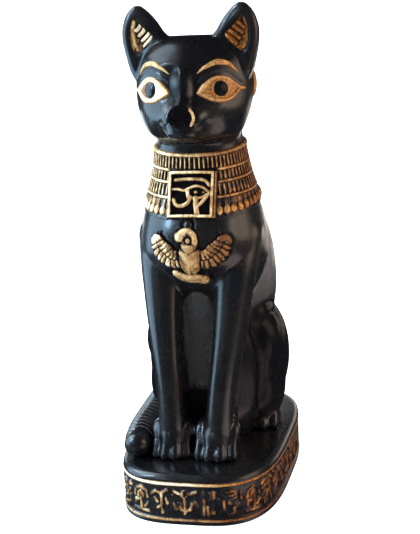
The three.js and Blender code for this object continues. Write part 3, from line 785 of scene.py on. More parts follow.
def face_lines(x, z):
    """The carved lines of the face, 0 beside them: mouth, parting, nostrils and the pad's edge."""
    side = np.abs(x)
    mouth = gap_to(side, z, [(0, 100.6), (1.2, 99.8), (3.2, 99.3), (5.4, 99.9), (6.9, 101.2)])
    parting = gap_to(x, z, [(0, 100.4), (0, 103.9)])
    nostril = [(1.0, 103.9), (2.0, 103.6), (3.1, 104.3), (3.5, 105.5), (2.9, 106.6)]
    lines = bell(mouth, 0.5) + 0.7 * bell(parting, 0.4) + 0.9 * bell(gap_to(side, z, nostril), 0.45)
    return np.clip(lines, 0, 1.2)


def skin():
    """The cat's skin: grown together, smoothed, then sunk or lifted along its own normal where the
    face, the hollow behind the shoulder, the haunch's groove, the panel and the groove round the
    scarab are. Its shade is painted shade, a dull near-black; where it is greyer, a sheen is
    painted."""
    mesh = grow_together(body_forms())
    points = mesh_points(mesh)
    edges = np.empty(len(mesh.edges) * 2, int)
    mesh.edges.foreach_get("vertices", edges)
    edges = edges.reshape(-1, 2)
    z = points[:, 2] - PLINTH_TOP
    fine = np.maximum(smooth(15, 11, z), 0.7 * smooth(112, 118, z))
    points = relax(points, edges, 0.6 - 0.45 * fine, 22)
    normals = set_points(mesh, points)
    x, y, z = plan(points)
    wide = np.abs(x)
    on_face = smooth(-12, -17, y) * between(z, 95, 97, 119, 121)
    above = signed_gap(y, z, HAUNCH_EDGE)
    behind = -signed_gap(y, z, SHOULDER_EDGE)
    hollow = smooth(-0.5, 0.7, behind) * smooth(9.5, 0.5, behind) * smooth(7.5, 9.5, wide)
    hollow = hollow * smooth(0.35, 0.75, np.abs(normals[:, 0])) * between(z, 6, 14, 62, 72)
    crease = bell(above - 0.6, 1.7) * smooth(9, 12, wide) * smooth(7, 13, z) * smooth(16, 4, y)
    recess = dome(x, z, (0.1, 102.5), (3.3, 2.7), 2.0) * on_face * smooth(-20, -22, y)
    out = face_swell(x, z) * on_face - 2.0 * hollow - 1.4 * crease - recess
    points = relax(points + normals * out[:, None], edges, 0.4, 4)
    normals = set_points(mesh, points)
    x, y, z = plan(points)
    wide = np.abs(x)
    ahead = -normals[:, 1]
    front = smooth(0.2, 0.6, ahead)
    panel = signed_gap(x, z, PANEL_EDGE)
    groove = bell(scarab_gap(x, z) - 0.45, 0.5) * front * (z > 50) * (z < 76) * (y < -10)
    lines = face_lines(x, z) * front * (y < -20) * (z > 96) * (z < 110)
    edge = bell(panel, 0.7) * (y < -9) * (y > -20) * smooth(0.3, 0.7, ahead)
    points = points - normals * (0.7 * groove + 0.5 * lines + 0.5 * edge)[:, None]
    points[:, 2] = np.minimum(points[:, 2], EAR_TIP_Z)
    faces = [tuple(p.vertices) for p in mesh.polygons]
    bpy.data.meshes.remove(mesh)
    # Painted shade: a dull near-black over the nose and mouth, under the panel between the
    # forelegs, on the thigh, on the wall behind the shoulder, on the ridge of the nose but for a
    # spot and a line, and on the forehead, darkening them and hiding their reflections
    muzzle = dome(x, z, (0.1, 102.7), (4.2, 4.1), 3.0) * front * (y < -22)
    gate = smooth(18.2, 17.6, z) * smooth(5.8, 5.2, wide) * (y > -21) * (y < -6)
    thigh = smooth(3.2, 0.2, above) * smooth(7, 10, wide) * smooth(3, 10, z) * (y < 34)
    wall = smooth(0, 0.8, behind) * smooth(7.5, 9.5, wide) * between(z, 6, 12, 32, 46) * (y < 20)
    spot = dome(x, z, (-2.7, 112.6), (1.5, 1.5))
    line = bell(x - 2.5, 0.55) * between(z, 106, 108.5, 114, 116.5)
    bridge = smooth(5.6, 4.2, wide) * between(z, 104.5, 106.5, 117, 119.5) * front * (y < -15)
    bridge = bridge * (1 - np.maximum(spot, line))
    brow = between(z, 113.5, 118.5, 127, 131) * smooth(17, 12, wide) * smooth(-2, -9, y)
    shade = highest(muzzle, gate, 0.8 * thigh, 0.72 * wall, 0.78 * bridge, 0.55 * brow)
    # Painted sheen: the skin is painted greyer on the belly's panel, on the upper flank and along
    # the shoulder's rear edge, standing in for reflected light
    web = smooth(-0.3, 0.6, panel) * (y < -6) * (y > -21) * smooth(0.2, 0.7, ahead)
    flank = smooth(0, 0.8, behind) * smooth(0.2, 1.2, above) * smooth(7.5, 9.5, wide)
    flank = flank * between(z, 34, 58, 62, 75) * smooth(30, 5, y)
    ridge = bell(behind + 0.5, 0.45) * smooth(8, 10, wide) * between(z, 4, 12, 60, 70)
    ridge = ridge * smooth(0.1, 0.4, np.abs(normals[:, 0]))
    rubbed = highest(0.15 * web, 0.6 * flank, 1.2 * ridge)
    return new_piece("cat_skin", points, faces, BLACK, {"shade": shade, "rubbed": rubbed})


def set_points(mesh, points):
    """Puts points in millimetres into a mesh and gives back the normals there."""
    mesh.vertices.foreach_set("co", (points * MM).reshape(-1))
    mesh.update()
    normals = np.empty(len(mesh.vertices) * 3)
    mesh.vertices.foreach_get("normal", normals)
    return normals.reshape(-1, 3)


def drape(x, z, target, turn=0.0):
    """Spots in x and z carried along Y until they meet the skin. All is first turned about Z, so
    that a patch can look at the skin from the side."""
    flat = np.stack([x, np.full(np.shape(x), -60.0), z], axis=-1).reshape(-1, 3)
    probe = add_object("drape", flat, [])
    probe.rotation_euler = (0, 0, turn)
    wrap = probe.modifiers.new("drape", "SHRINKWRAP")
    wrap.target = target
    wrap.wrap_method = "PROJECT"
    wrap.use_project_y = True
    wrap.use_positive_direction = True
    wrap.use_negative_direction = False
    shown = probe.evaluated_get(bpy.context.evaluated_depsgraph_get())
    found = mesh_points(shown.data) @ np.array(Matrix.Rotation(turn, 3, "Z")).T
    bpy.data.objects.remove(probe)
    return found.reshape(*np.shape(x), 3)


def lift(base, height):
    """A grid lifted off its base along the grid's own normal, the one that looks to -Y."""
    normal = unit(np.cross(np.gradient(base, axis=0), np.gradient(base, axis=1)))
    normal = normal * np.where(normal[..., 1:2] > 0, -1, 1)
    return base + normal * height[..., None]


SKIN = skin()


# Relief that lies on the skin


# The scarab's seams: their lines and depths
SEAMS = [
    ([(0.2, 56.2), (0.15, 62.4)], 0.5),
    ([(-2.9, 64.9), (-1.6, 63.6), (0.1, 62.5), (1.8, 63.6), (3.1, 64.9)], 0.65),
    ([(-3.2, 60.7), (-2.2, 57.8), (-0.9, 56.2)], 0.3),
    ([(3.4, 60.7), (2.5, 57.8), (1.2, 56.2)], 0.3),
]


def stud(distance, radius, foot):
    """A ball or cord on a foot: foot plus the cord's height within the radius, 0 beyond."""
    return np.where(distance < radius, foot + cord_height(distance, radius), 0)


def scarab():
    """The winged scarab: over a patch of the chest, the height is the greatest of its parts'. A
    wing is two rows of feathers either side of its middle line; the body has wing cases with a
    seam and a V above them; over it stands a hood with a boss in a ring-shaped hollow."""
    x, z = grid(np.linspace(-13.6, 13.6, 246), np.linspace(51.8, 73, 192))
    across, along, half = wing_measures(x, z)
    low_row = np.abs((along * 7.2 + across * 0.09) % 1 - 0.5) * 2
    top_row = np.abs((along * 6.6 + 0.5 - across * 0.16) % 1 - 0.5) * 2
    low = (0.95 - 0.62 * low_row**3) * smooth(-0.15, 0.3, across)
    low = low + 0.14 * bell(low_row, 0.16) * (across > 0.4)
    top = (0.85 - 0.55 * top_row**3) * smooth(0.12, -0.3, across)
    top = top + 0.3 * smooth(-half + 1.1, -half + 0.6, across)
    wing_in = smooth(0.2, -0.12, np.maximum(across - half + 0.75 * low_row**3, -across - half))
    wing_in = wing_in * smooth(3.0, 3.7, np.abs(x))
    wing = (0.22 + np.maximum(low, top)) * wing_in
    body_r = oval(x, z, BODY, BODY_RADII)
    body = 0.55 + 1.25 * cord_height(body_r, 1)
    for seam, depth in SEAMS:
        body = body - depth * bell(gap_to(x, z, seam), 0.26)
    hood = stud(gap_to(x, z, curve(HOOD, 24)), HOOD_R, 0.75)
    lobe = stud(oval(x, z, LOBE), 0.95, 0.7)
    boss_r = oval(x, z, BOSS)
    plate = np.where(boss_r < 1.1, 0.3, 0.75 * smooth(1.9, 1.6, boss_r))
    neck = 0.95 * smooth(2.3, 1.9, np.abs(x - 0.1)) * between(z, 64.2, 64.5, 65.3, 65.6)
    bead_r = oval(x, z, BEAD, (1, 1.15))
    tail_gap, tail_along, _ = line_distance(x, z, curve(SCARAB_TAIL, 24))
    tail_half = read_evenly(TAIL_HALF, tail_along)
    tail_in = smooth(tail_half + 0.12, tail_half - 0.08, tail_gap)
    spikes = np.zeros_like(x)
    for a, b in SPIKES:
        lean = np.abs(x) - a + (z - b) * 0.35
        spikes = np.maximum(spikes, 0.7 * cord_height(np.hypot(lean / 0.33, (z - b) / 1.2), 1))
    height = highest(
        wing, body * smooth(1.05, 0.98, body_r), hood, lobe, plate, stud(boss_r, 0.75, 0.6), neck,
        stud(bead_r, 0.92, 0.25), spikes, (0.4 + cord_height(tail_gap / tail_half, 1)) * tail_in,
    )
    bare = np.maximum(smooth(0.15, 0.3, spikes) * (spikes >= wing), bead_r < 1)
    gilt = (0.15 + 0.95 * smooth(0.35, 1.25, height)) * smooth(0.25, 0.5, height)
    gilt = gilt - 0.5 * np.where(across > 0, low_row, top_row) ** 6 * wing_in
    gilt = gilt - 0.7 * bell(boss_r - 0.95, 0.2)
    worn = 0.6 * smooth(-0.2, 0.6, wander(x * 2.4, z * 3.1, 23)) + 0.35 * wander(x * 5, z * 6, 24)
    # Painted light: the gold is thicker, so paler, towards the cat's right (-x) where the window
    # light falls, and thinner towards its left
    gilt = gilt * (1 - 0.035 * x) - worn * smooth(11, 3, np.abs(x + 8))
    gilt = (gilt - 0.26 * smooth(0.2, 1.0, body_r) * (body_r < 1)) * (1 - bare)
    points = lift(drape(x, z + PLINTH_TOP, SKIN), height - 0.45 * smooth(0.3, 0.05, height))
    return surface_piece("winged_scarab", points, GILDED, {"gilt": gilt}, (0, 0, 78))


# An eye seen along its way out of the face: its middle, and the turn of that way
EYE_X = 9.4
EYE_Y = -18.6
EYE_Z = 110.2
EYE_SLANT = 0.66
# Its lines, in s outwards along the cheek and h up
UPPER_LID = [
    (-6.2, -0.9), (-4.6, 1.1), (-2.4, 2.7), (0, 3.3), (2.4, 2.8), (4.6, 1.3), (6.4, 0.1),
    (9.2, -0.2),
]
LOWER_LID = [
    (-6.2, -0.9), (-4.6, -2), (-2.2, -3), (0.6, -3.3), (3.2, -2.7), (5.2, -1.3), (6.6, -0.2),
    (9.2, -0.5),
]
LID_FOLD = [(-5.9, 2.2), (-3, 4.5), (0.6, 5.3), (4.2, 4.1), (7.4, 1.6)]
BROW = [(-6.2, 4.6), (-4, 6.3), (-0.7, 7.5), (2.5, 7.2), (4.8, 5.8), (6.4, 4.2)]


def on_side(name, side):
    """The name of a piece that the cat has on both sides."""
    return name + ("_left" if side > 0 else "_right")


def eye(side):
    """An eye and its brow on a patch of the face: s runs outwards along the cheek, h up. The lid is
    a round cord along the almond's edge, the ball a low dome and the pupil a smaller one on it."""
    s, h = grid(np.linspace(-8.2, 10.4, 172), np.linspace(-6, 9.8, 152))
    upper, lower = curve(UPPER_LID, 40), curve(LOWER_LID, 40)
    lid = np.minimum(gap_to(s, h, upper), gap_to(s, h, lower))
    inside = (h < np.interp(s, *upper.T)) * (h > np.interp(s, *lower.T)) * (s > -6.2) * (s < 6.5)
    pupil_r = np.hypot(s, h - 0.05)
    ball = 0.7 * cord_height(np.hypot(s / 6.4, h / 3.7), 1)
    pupil = 0.6 * cord_height(pupil_r / 2.25, 1)
    brow, along, _ = line_distance(s, h, curve(BROW, 40))
    brow_r = 0.12 + 0.62 * np.sin(np.pi * np.clip(along, 0, 1)) ** 0.75
    lid_r = 0.5 * smooth(9.4, 7.0, s) + 0.12
    height = highest(
        inside * (ball + pupil - 0.25),
        1.1 * cord_height(lid, lid_r),
        0.22 * bell(gap_to(s, h, curve(LID_FOLD, 24)), 0.9) - 0.05,
        1.2 * cord_height(brow, brow_r),
    )
    x = side * (EYE_X * math.cos(EYE_SLANT) + EYE_Y * math.sin(EYE_SLANT) + s)
    base = drape(x, EYE_Z + h + PLINTH_TOP, SKIN, side * EYE_SLANT)
    points = lift(base, height - 0.3 * (1 - smooth(0.02, 0.22, height)))
    lid_gold = smooth(lid_r + 0.1, lid_r - 0.08, lid) * (1 - smooth(8.4, 9.4, s))
    lid_gold = np.maximum(lid_gold, smooth(1.0, 0.85, lid) * inside)
    lid_gold = lid_gold * (0.84 + 0.315 * smooth(0.4, 0.05, lid))
    # Painted light: the cat's right eye (side < 0) is painted paler gold, with amber only on its
    # outer side, where the window light falls on it; the pupils' shade is painted shade, strong on
    # the other eye and slight on this one
    round_gold, depth, amber = 0.95, 0.75, 1
    if side < 0:
        round_gold, depth, amber = 1.25, 0.2, 0.9 * smooth(-1.5, 1.5, s)
    round_gold = round_gold * inside * smooth(2.4, 2.6, pupil_r)
    fields = {
        "gilt": highest(lid_gold, smooth(brow_r + 0.1, brow_r - 0.1, brow), round_gold),
        "iris": amber * inside * smooth(0.75, 1.0, lid) * smooth(2.1, 2.35, pupil_r),
        "shade": depth * inside * smooth(2.3, 2.1, pupil_r),
    }
    return surface_piece(on_side("eye", side), points, EYE_PAINT, fields, (0, 0, 125))


# The slanting ridges inside an ear, and the lip along its outer edge
EAR_RIDGES = [
    [(16.2, 127.2), (15.3, 128.0), (14.8, 128.5)],
    [(15.5, 125.7), (14.4, 126.6), (13.6, 127.4)],
    [(14.6, 124.2), (13.2, 125.4), (12.2, 126.2)],
    [(13.8, 122.8), (12.4, 124.1), (11.3, 125.1)],
]
EAR_LIP = [(16.5, 129.8), (16.9, 128), (17.1, 125.8), (16.8, 123.4), (15.9, 121.5)]


def ear_lining(side):
    """The gold inside an ear: rings from the hollow's middle to its edge. Four slanting ridges
    stand in a row along the edge towards the head, and a smooth lip runs down the other edge."""
    angle, share = grid(full_turn(200), np.linspace(0.03, 1.02, 70))
    radius, middle = ear_outline(EAR_OPENING, angle)
    x, z = ear_spots(middle, radius * share, angle)
    gap = np.minimum.reduce([gap_to(x, z, ridge) for ridge in EAR_RIDGES])
    ridge = cord_height(gap, 0.62)
    lip = cord_height(gap_to(x, z, EAR_LIP), 0.42)
    y = ear_bend(z, ear_floor(share)) - 0.25 - 1.7 * ridge * smooth(1.0, 0.88, share) - 0.8 * lip
    # Painted light: the cat's left ear (+x), where the warm lamp falls, is a brighter bronze with
    # pale flecks as glints; the cat's right ear is darker, its ridges painted pale as highlights of
    # the window light
    plain, fleck = (0.85, 0.9) if side > 0 else (0.56, 0.2)
    speckle = smooth(0.3, 0.7, wander(x * 7, z * 7, 12)) * fleck
    bright = 1.05 * (0.9 + 0.6 * speckle) if side > 0 else 1.5
    gilt = plain + 0.25 * wander(x * 3, z * 3, 5) + 0.7 * speckle
    gilt = highest(gilt, bright * smooth(0.1, 0.45, ridge), 1.15 * smooth(0.1, 0.4, lip))
    gilt = gilt - 0.5 * bell(gap - 0.85, 0.2) * smooth(-2.5, 0, 17 - x)
    gilt = (gilt * smooth(1.0, 0.95, share)).T
    points = np.moveaxis(np.stack([side * x, y, z + PLINTH_TOP], axis=-1), 0, 1)
    verts, faces = sheet_mesh(points, around=True)
    faces += fan(np.arange(points.shape[1]), len(verts))
    verts = np.concatenate([verts, points[:1].mean(axis=1)])
    faces = outward(verts, faces, (side * 15, 20, 138))
    fields = {"gilt": np.append(gilt, gilt[0].mean())}
    return new_piece(on_side("ear_lining", side), verts, faces, GILDED, fields)


def hoop(name, spot, radii, wire, turn_z, turn_x, gold_from=-9.0):
    """A ring: a small circle carried round an ellipse, then turned about X and Z. It is gold where
    the ellipse's x is beyond gold_from, and black before."""
    a, b = grid(full_turn(80), full_turn(20))
    across = (radii[0] + wire * np.cos(b)) * np.cos(a)
    flat = np.stack([across, wire * np.sin(b), (radii[1] + wire * np.cos(b)) * np.sin(a)], axis=-1)
    turn = np.array(Matrix.Rotation(turn_z, 3, "Z") @ Matrix.Rotation(turn_x, 3, "X"))
    points = flat @ turn.T + np.asarray(spot, float) + (0, 0, PLINTH_TOP)
    gilt = 1.15 * smooth(gold_from - 0.3, gold_from + 0.3, across)
    # Painted shade: the black part of the ring is a dull near-black
    fields = {"gilt": gilt, "shade": smooth(0.3, 0.0, gilt)}
    return surface_piece(name, points, GILDED, fields, around=True, ring=True)


# The tail's middle line, its rings, the steps along it and the steps of the domes at its ends
TAIL_PATH = [
    (-6, 35.6, 4.2), (-14.6, 34, 4.2), (-18.9, 27.4, 4.6), (-19.6, 12, 4.6), (-19.6, -4, 4.2),
    (-19.2, -16, 4.2), (-17.7, -28.2, 4),
]
TAIL_RINGS = 28
TAIL_STEPS = 560
TAIL_DOMES = 12


def ripple(t):
    """Rings that die out before the tip: a power of the sine's size, less about its mean."""
    wave = np.abs(np.sin(np.pi * t * TAIL_RINGS)) ** 0.6 - 0.78
    return 1.5 * wave * smooth(0.985, 0.95, t)


def tail():
    """The tail: a tube along the plinth whose radius swells and sinks at every ring. The crests
    of the rings are painted greyer, as painted highlights."""
    radii = [5.1, 5.1, 4.8, 4.65, 4.3, 4.05]
    points = limb_form(TAIL_PATH, radii, (0, 0, 1), TAIL_STEPS, 40, TAIL_DOMES, ripple)
    # Painted highlight: the crests of the rings are painted greyer
    crest = np.pad(smooth(0.12, 0.3, ripple(np.linspace(0, 1, TAIL_STEPS))), TAIL_DOMES)
    fields = {"rubbed": np.broadcast_to(0.5 * crest[:, None], points.shape[:2])}
    return surface_piece("ringed_tail", points, BLACK, fields, around=True, poles=True)


# The plaque's middle, across and above the plinth
PLAQUE_X = 0.45
PLAQUE_Z = 79.2
# The collar's levels from the lowest up: the height at the front above the plinth, the rise behind,
# the share of the grid's rows below it, and the radius and height of the cord that runs along it
LEVELS = [
    (72.3, 3.4, 0.0, 0.4, 0.15), (78.3, 2.0, 0.33, 0.55, 0.68), (82.6, 2.0, 0.55, 0.55, 0.68),
    (86.2, 2.2, 0.76, 0.55, 0.7), (90.6, 2.6, 1.0, 0.66, 0.85),
]
# Bars round each of its three rows, drops round its lower edge and the radius these hang on
BAR_COUNTS = (64, 66, 70)
DROP_COUNT = 46
DROP_CIRCLE = 16.5


def bars(angle, count):
    """A row of upright bars: 1 on a bar, 0 in the gaps, with rounded flanks."""
    place = np.abs((angle / (2 * np.pi) * count) % 1 - 0.5) * 2
    return smooth(0.64, 0.16, place)


def collar_heights(t, levels):
    """Heights that pass the levels at their shares of t, with a short step beyond both ends."""
    spots = [row[2] for row in LEVELS]
    z = np.zeros_like(t)
    for low, high, start, end in zip(levels[:-1], levels[1:], spots[:-1], spots[1:]):
        share = np.clip((t - start) / (end - start), 0, 1)
        z = np.where((t >= start) & (t <= end), low + (high - low) * share, z)
    z = np.where(t < 0.03, levels[0] - 0.6 + 0.6 * t / 0.03, z)
    return np.where(t > 0.97, levels[-1] - 0.8 + 1.7 * (t - 0.97) / 0.03, z)


def collar():
    """The collar's surface: out is a base thickness, plus a cord at every level, plus bars between
    the levels and a row of round drops along the lower edge. Behind the plaque it stays low."""
    angle, t = grid(full_turn(850), np.linspace(0, 1, 114))
    behind = (1 - np.cos(angle)) / 2 * 1.5
    levels = [row[0] + row[1] * behind for row in LEVELS]
    z = collar_heights(t, levels)
    cords = highest(*(
        cord_height(z - at, radius) / radius * tall
        for at, (_, _, _, radius, tall) in zip(levels, LEVELS)
    ))
    rows = np.zeros_like(z)
    for i, count in enumerate(BAR_COUNTS, 1):
        inside = smooth(0.4, 0.7, z - levels[i]) * smooth(0.4, 0.7, levels[i + 1] - z)
        rows = np.maximum(rows, bars(angle + 0.02 * i, count) * inside * 0.62)
    place = (angle / (2 * np.pi) * DROP_COUNT) % 1 - 0.5
    aside = place * 2 * np.pi * DROP_CIRCLE / DROP_COUNT
    middle = levels[0] + 2.1
    drop = cord_height(np.hypot(aside / 1.08, (z - middle) / 1.4), 1)
    stalk = smooth(0.6, 0.4, np.abs(aside)) * smooth(middle, middle + 1.2, z)
    stalk = stalk * smooth(levels[1] - 0.2, levels[1] - 0.8, z)
    relief = highest(cords, rows, 1.1 * drop, 0.5 * stalk)
    ends = smooth(0, 0.35, z - levels[0] + 0.6) * smooth(0, 0.5, levels[4] + 0.9 - z)
    x = row_points(TRUNK, TRUNK_SQUARENESS, z, angle)[..., 0]
    hidden = smooth(7.3, 6.6, np.abs(x - PLAQUE_X)) * (np.cos(angle) > 0)
    hidden = hidden * smooth(levels[3] + 0.7, levels[3] + 0.2, z)
    out = -0.5 + ends * (0.85 + relief) * (1 - hidden)
    gilt = (0.2 + 0.95 * smooth(0.34, 0.66, relief)) * smooth(0.16, 0.45, relief) * ends
    warm = smooth(0.1, 0.8, np.sin(angle))
    cold = smooth(-0.45, -0.75, np.sin(angle)) * (z < levels[3])
    dry = 0.5 + 0.12 * cold + 0.35 * wander(angle * 60, z * 4, 4)
    dry = dry * np.maximum(np.maximum(warm, cold), 0.5) * (z > levels[0] + 0.5)
    gilt = gilt + dry * smooth(0.4, 0.1, relief) * ends
    # Painted light: the gold is thicker, so paler, on the cat's right side where the window light
    # falls, and thinner on its left
    gilt = (gilt + 0.24 * wander(angle * 40, z * 3, 3)) * (1 - 0.14 * np.sin(angle))
    gilt = (gilt + 0.25 * wander(angle * 55, z * 4.5, 41) * (gilt > 0.5)) * (1 - hidden)
    points = np.moveaxis(row_points(TRUNK, TRUNK_SQUARENESS, z, angle, out), 0, 1)
    fields = {"gilt": gilt.T}
    return surface_piece("broad_collar", points, GILDED, fields, (0, -3, 97), around=True)


# The eye amulet on the plaque: its cords, with their radii, and its two dots
AMULET = [
    ([(-5.2, 4.3), (-2, 4.5), (1.5, 4.5), (3.9, 4.1), (5.3, 2.7)], 0.55),
    ([(-5.8, 1.6), (-4, 1.5), (-2.4, 1.1), (-0.9, 1.7), (1, 2.4), (3.2, 2.1), (5.5, 0.5)], 0.45),
    ([(-1.6, 1), (-0.6, -0.7), (1, -1.25), (3.2, -0.9), (5.5, 0.5)], 0.48),
    ([(1.3, -1.2), (1.5, -3.4), (1.9, -5.9)], 0.85),
    ([(5.3, 0.3), (4, -1.4), (2.5, -3.2)], 0.55),
    ([(-0.3, -0.9), (-0.9, -2.4), (-2.8, -3.5), (-4.7, -3.1), (-5.5, -1.6)], 0.66),
    ([(-1.2, 0.8), (-0.9, -1)], 0.6),
]


def box_gap(x, z, left, right, low, high):
    """How far a spot is outside a box, negative inside it."""
    return highest(x - right, left - x, z - high, low - z)


def plaque():
    """The square plaque: a height over a leaning plane. A frame stands round a sunk window, a thin
    strip stands beside it, and the eye amulet is a set of cords on the window's floor."""
    x, z = grid(np.linspace(-7.6, 7.9, 232), np.linspace(-7.5, 7.4, 222))
    window = box_gap(x, z, -6.2, 5.75, -6.1, 5.9)
    groove = (np.abs(x - 6.75) < 0.16) * (np.abs(z) < 6.7)
    floor = smooth(0.12, -0.1, window)
    height = 1.35 + 0.35 * cord_height(window - 0.5, 0.55) - 0.75 * groove
    height = height * (1 - floor) + 0.1 * floor
    amulet = np.maximum(
        cord_height(np.hypot(x - 1.25, z - 0.55), 0.62) * 1.3,
        cord_height(np.hypot((x - 3.6) / 1.3, z - 0.6), 0.5) * 0.9,
    )
    for line, radius in AMULET:
        cord = cord_height(gap_to(x, z, curve(line, 30)), radius) / radius
        amulet = np.maximum(amulet, cord**0.8 * (0.55 + 0.5 * radius))
    sink = smooth(-0.2, 0.12, box_gap(x, z, -7.25, 7.55, -7.2, 7))
    height = (height + amulet * (window < -0.05)) * (1 - sink) - 1.8 * sink
    frame_gilt = smooth(0.9, 1.25, height) * (0.85 + 0.5 * smooth(0.6, 0.1, np.abs(window - 0.5)))
    amulet_gilt = smooth(0.15, 0.45, amulet) * (0.6 + 0.55 * smooth(0.3, 0.75, amulet))
    gilt = np.where(window > -0.06, frame_gilt, amulet_gilt)
    rub = 0.3 * wander(x * 2.1, z * 1.9, 31) + 0.2 * wander(x * 5, z * 5, 32)
    gilt = gilt + rub * (gilt > 0.3)
    low, front, high = read_rows(TRUNK, np.array([PLAQUE_Z - 6, PLAQUE_Z, PLAQUE_Z + 6]))[:, 1]
    turn = np.array(Matrix.Rotation(-math.atan2(high - low, 12), 3, "X"))
    points = np.stack([x + PLAQUE_X, -height - 0.75 + 0.018 * x**2, z], axis=-1) @ turn.T
    points = points + (0, front - 0.1, PLAQUE_Z + PLINTH_TOP)
    # Painted shade: the sunk window's floor, away from the amulet, is a dull near-black
    fields = {"gilt": gilt, "shade": smooth(0.1, -0.2, window) * smooth(0.25, 0.0, amulet)}
    inside = (0, 0, PLAQUE_Z + PLINTH_TOP)
    return surface_piece("eye_plaque", points, GILDED, fields, inside)


# The plinth: its oblong, its rolled rim, its sunk band and the thin lines below and above it
PLINTH_W = 49.98
PLINTH_D = 83.98
PLINTH_SQUARENESS = 3.34
RIM_RADIUS = 2.3
BAND_DEPTH = 0.6
LOW_LINE_Z = 1.55
UPPER_LINE_Z = 12.7
LINE_HALF = 0.45
PLINTH_STEPS = 1120
# The band's signs: their middle height, how far they are squeezed along the band, the seed of
# their bends, and a distance beyond every sign
SIGN_MIDDLE_Z = 7.15
SIGN_SQUEEZE = 0.86
SIGN_SEED = 11
FAR = 9.0


def plinth_edge(angle, inset=0.0):
    """x and y of the plinth's rounded oblong at an angle from the front, moved in: half the width
    times a power of the sine, half the depth times the same power of the cosine."""
    x = (PLINTH_W / 2 - inset) * power(np.sin(angle), 2 / PLINTH_SQUARENESS)
    return x, -(PLINTH_D / 2 - inset) * power(np.cos(angle), 2 / PLINTH_SQUARENESS)


def plinth_walk(count):
    """Angles that pace the plinth's edge evenly, the length walked at each, and the whole."""
    fine = np.linspace(0, 2 * np.pi, 40001)
    x, y = plinth_edge(fine)
    length = np.concatenate([[0], np.cumsum(np.hypot(np.diff(x), np.diff(y)))])
    wanted = np.arange(count) / count * length[-1]
    return np.interp(wanted, length, fine), wanted, length[-1]


# Made-up signs of the band, each a set of fine strokes; none of them is a letter
SIGNS = [
    [
        [-2.7, 2, 2.5, 2.9], [-1.9, 3.7, 1.3, 0.7], [1.7, 3.9, -1.1, 0.5], [-2.9, 0.5, -1.3, 1.3],
        [0.2, 0.6, -0.5, -1.3, -1.7, -2.3], [-1.9, -3.5, 0.7, -3.1], [1.3, -0.7, 2.1, -2.1],
    ],
    [
        [-2.3, 0.7, -2, 2.6, 0, 3.7, 2, 2.6, 2.3, 0.7],
        [-0.9, 0.6, -0.7, 1.9, 0, 2.4, 0.7, 1.9, 0.9, 0.6], [0, 2.2, 0, -3.3],
        [-2.6, -3.7, 2.6, -3.7], [-2, -2.5, -2, -0.7, -0.8, -0.7], [1.1, -2.4, 2, -1.2],
    ],
    [
        [-2.9, 1.9, -1.6, 3.2, -0.3, 2.5], [0.2, 2.5, 1.5, 3.4, 2.9, 2.1], [0, 2.4, 0.2, -3.8],
        [-1.9, 0.7, -1.3, -0.4], [1.3, 0.8, 1.6, -0.6], [-1.2, -2.2, -0.4, -1.6],
    ],
    [
        [-1, 2.5, -0.7, 3.3, 0, 3.6, 0.7, 3.3, 1, 2.5, 0.7, 1.7, 0, 1.4, -0.7, 1.7, -1, 2.5],
        [-2.9, 3.3, -1.6, 2.6], [1.5, 2.7, 2.9, 3.5], [0, 1, 0, -3.8],
        [-1.7, -0.5, -1.2, -2.3, 0, -3], [1.7, -0.3, 1.2, -2.3, 0, -3], [-2.9, -0.8, -2.3, -2.3],
        [2.5, 0.3, 2.9, -1.5],
    ],
    [
        [-1.3, 3.6, -1.5, -3.4], [0.2, 3.5, 0.2, 0.7], [1.5, 3.6, 1.3, -3.3],
        [-0.3, -0.9, -0.1, -3.4], [2.4, 1.2, 2.6, -1],
    ],
    [
        [-1.9, 3.4, 0.2, 3.8, 0.7, 2.6, -0.8, 2.1], [1, 1.6, -0.6, 1.1, -1, -0.2, 0.7, -0.5],
        [1.4, -0.9, 0.2, -1.6, 0.6, -2.9, -1, -3.6], [2.2, 3.2, 2.4, 0.8], [-2.4, 0.6, -2.2, -2.6],
    ],
    [
        [-2.8, 2.9, -1.6, 3.7, -0.4, 2.9, 0.8, 3.7, 2, 3], [-2.2, 1.3, -1.1, 2, 0, 1.3, 1.1, 2],
        [-1.4, -0.2, 1.6, 0], [-0.2, -0.2, -0.6, -3.6], [1.2, -1.2, 2.2, -3.2],
        [-2.4, -1, -2, -3.4],
    ],
    [
        [0, -0.4, -2.2, 2.6], [0, -0.4, -0.8, 3.5], [0, -0.4, 0.9, 3.5], [0, -0.4, 2.3, 2.5],
        [-1.8, -2.1, 1.8, -1.9], [-1.4, -3.8, 0, -3, 1.4, -3.8],
    ],
]
# The order of the signs round the band, from the middle of the front towards the cat's left
SIGN_ORDER = [
    3, 4, 5, 1, 6, 0, 2, 7, 5, 3, 6, 1, 4, 2, 0, 7, 6, 3, 5, 1, 2, 4, 0, 7, 3, 6, 5, 4, 7, 0, 1, 2,
]


def sign_gap(s, z, kind, rng):
    """The distance from the nearest stroke of one sign near s = 0, its strokes a little bent."""
    gap = np.full(np.shape(s), FAR)
    for stroke in SIGNS[kind]:
        stretch = rng.uniform(0.92, 1.08), rng.uniform(0.95, 1.04)
        bent = np.reshape(stroke, (-1, 2)) * stretch + rng.uniform(-0.15, 0.15, 2)
        gap = np.minimum(gap, gap_to(s, z, bent))
    return gap


def line_profile(middle):
    """Height and inset of a thin half-round line about a middle height."""
    return [
        (middle + LINE_HALF * math.sin(a), BAND_DEPTH * (1 - math.cos(a)))
        for a in (-1.1, -0.55, 0, 0.55, 1.1)
    ]


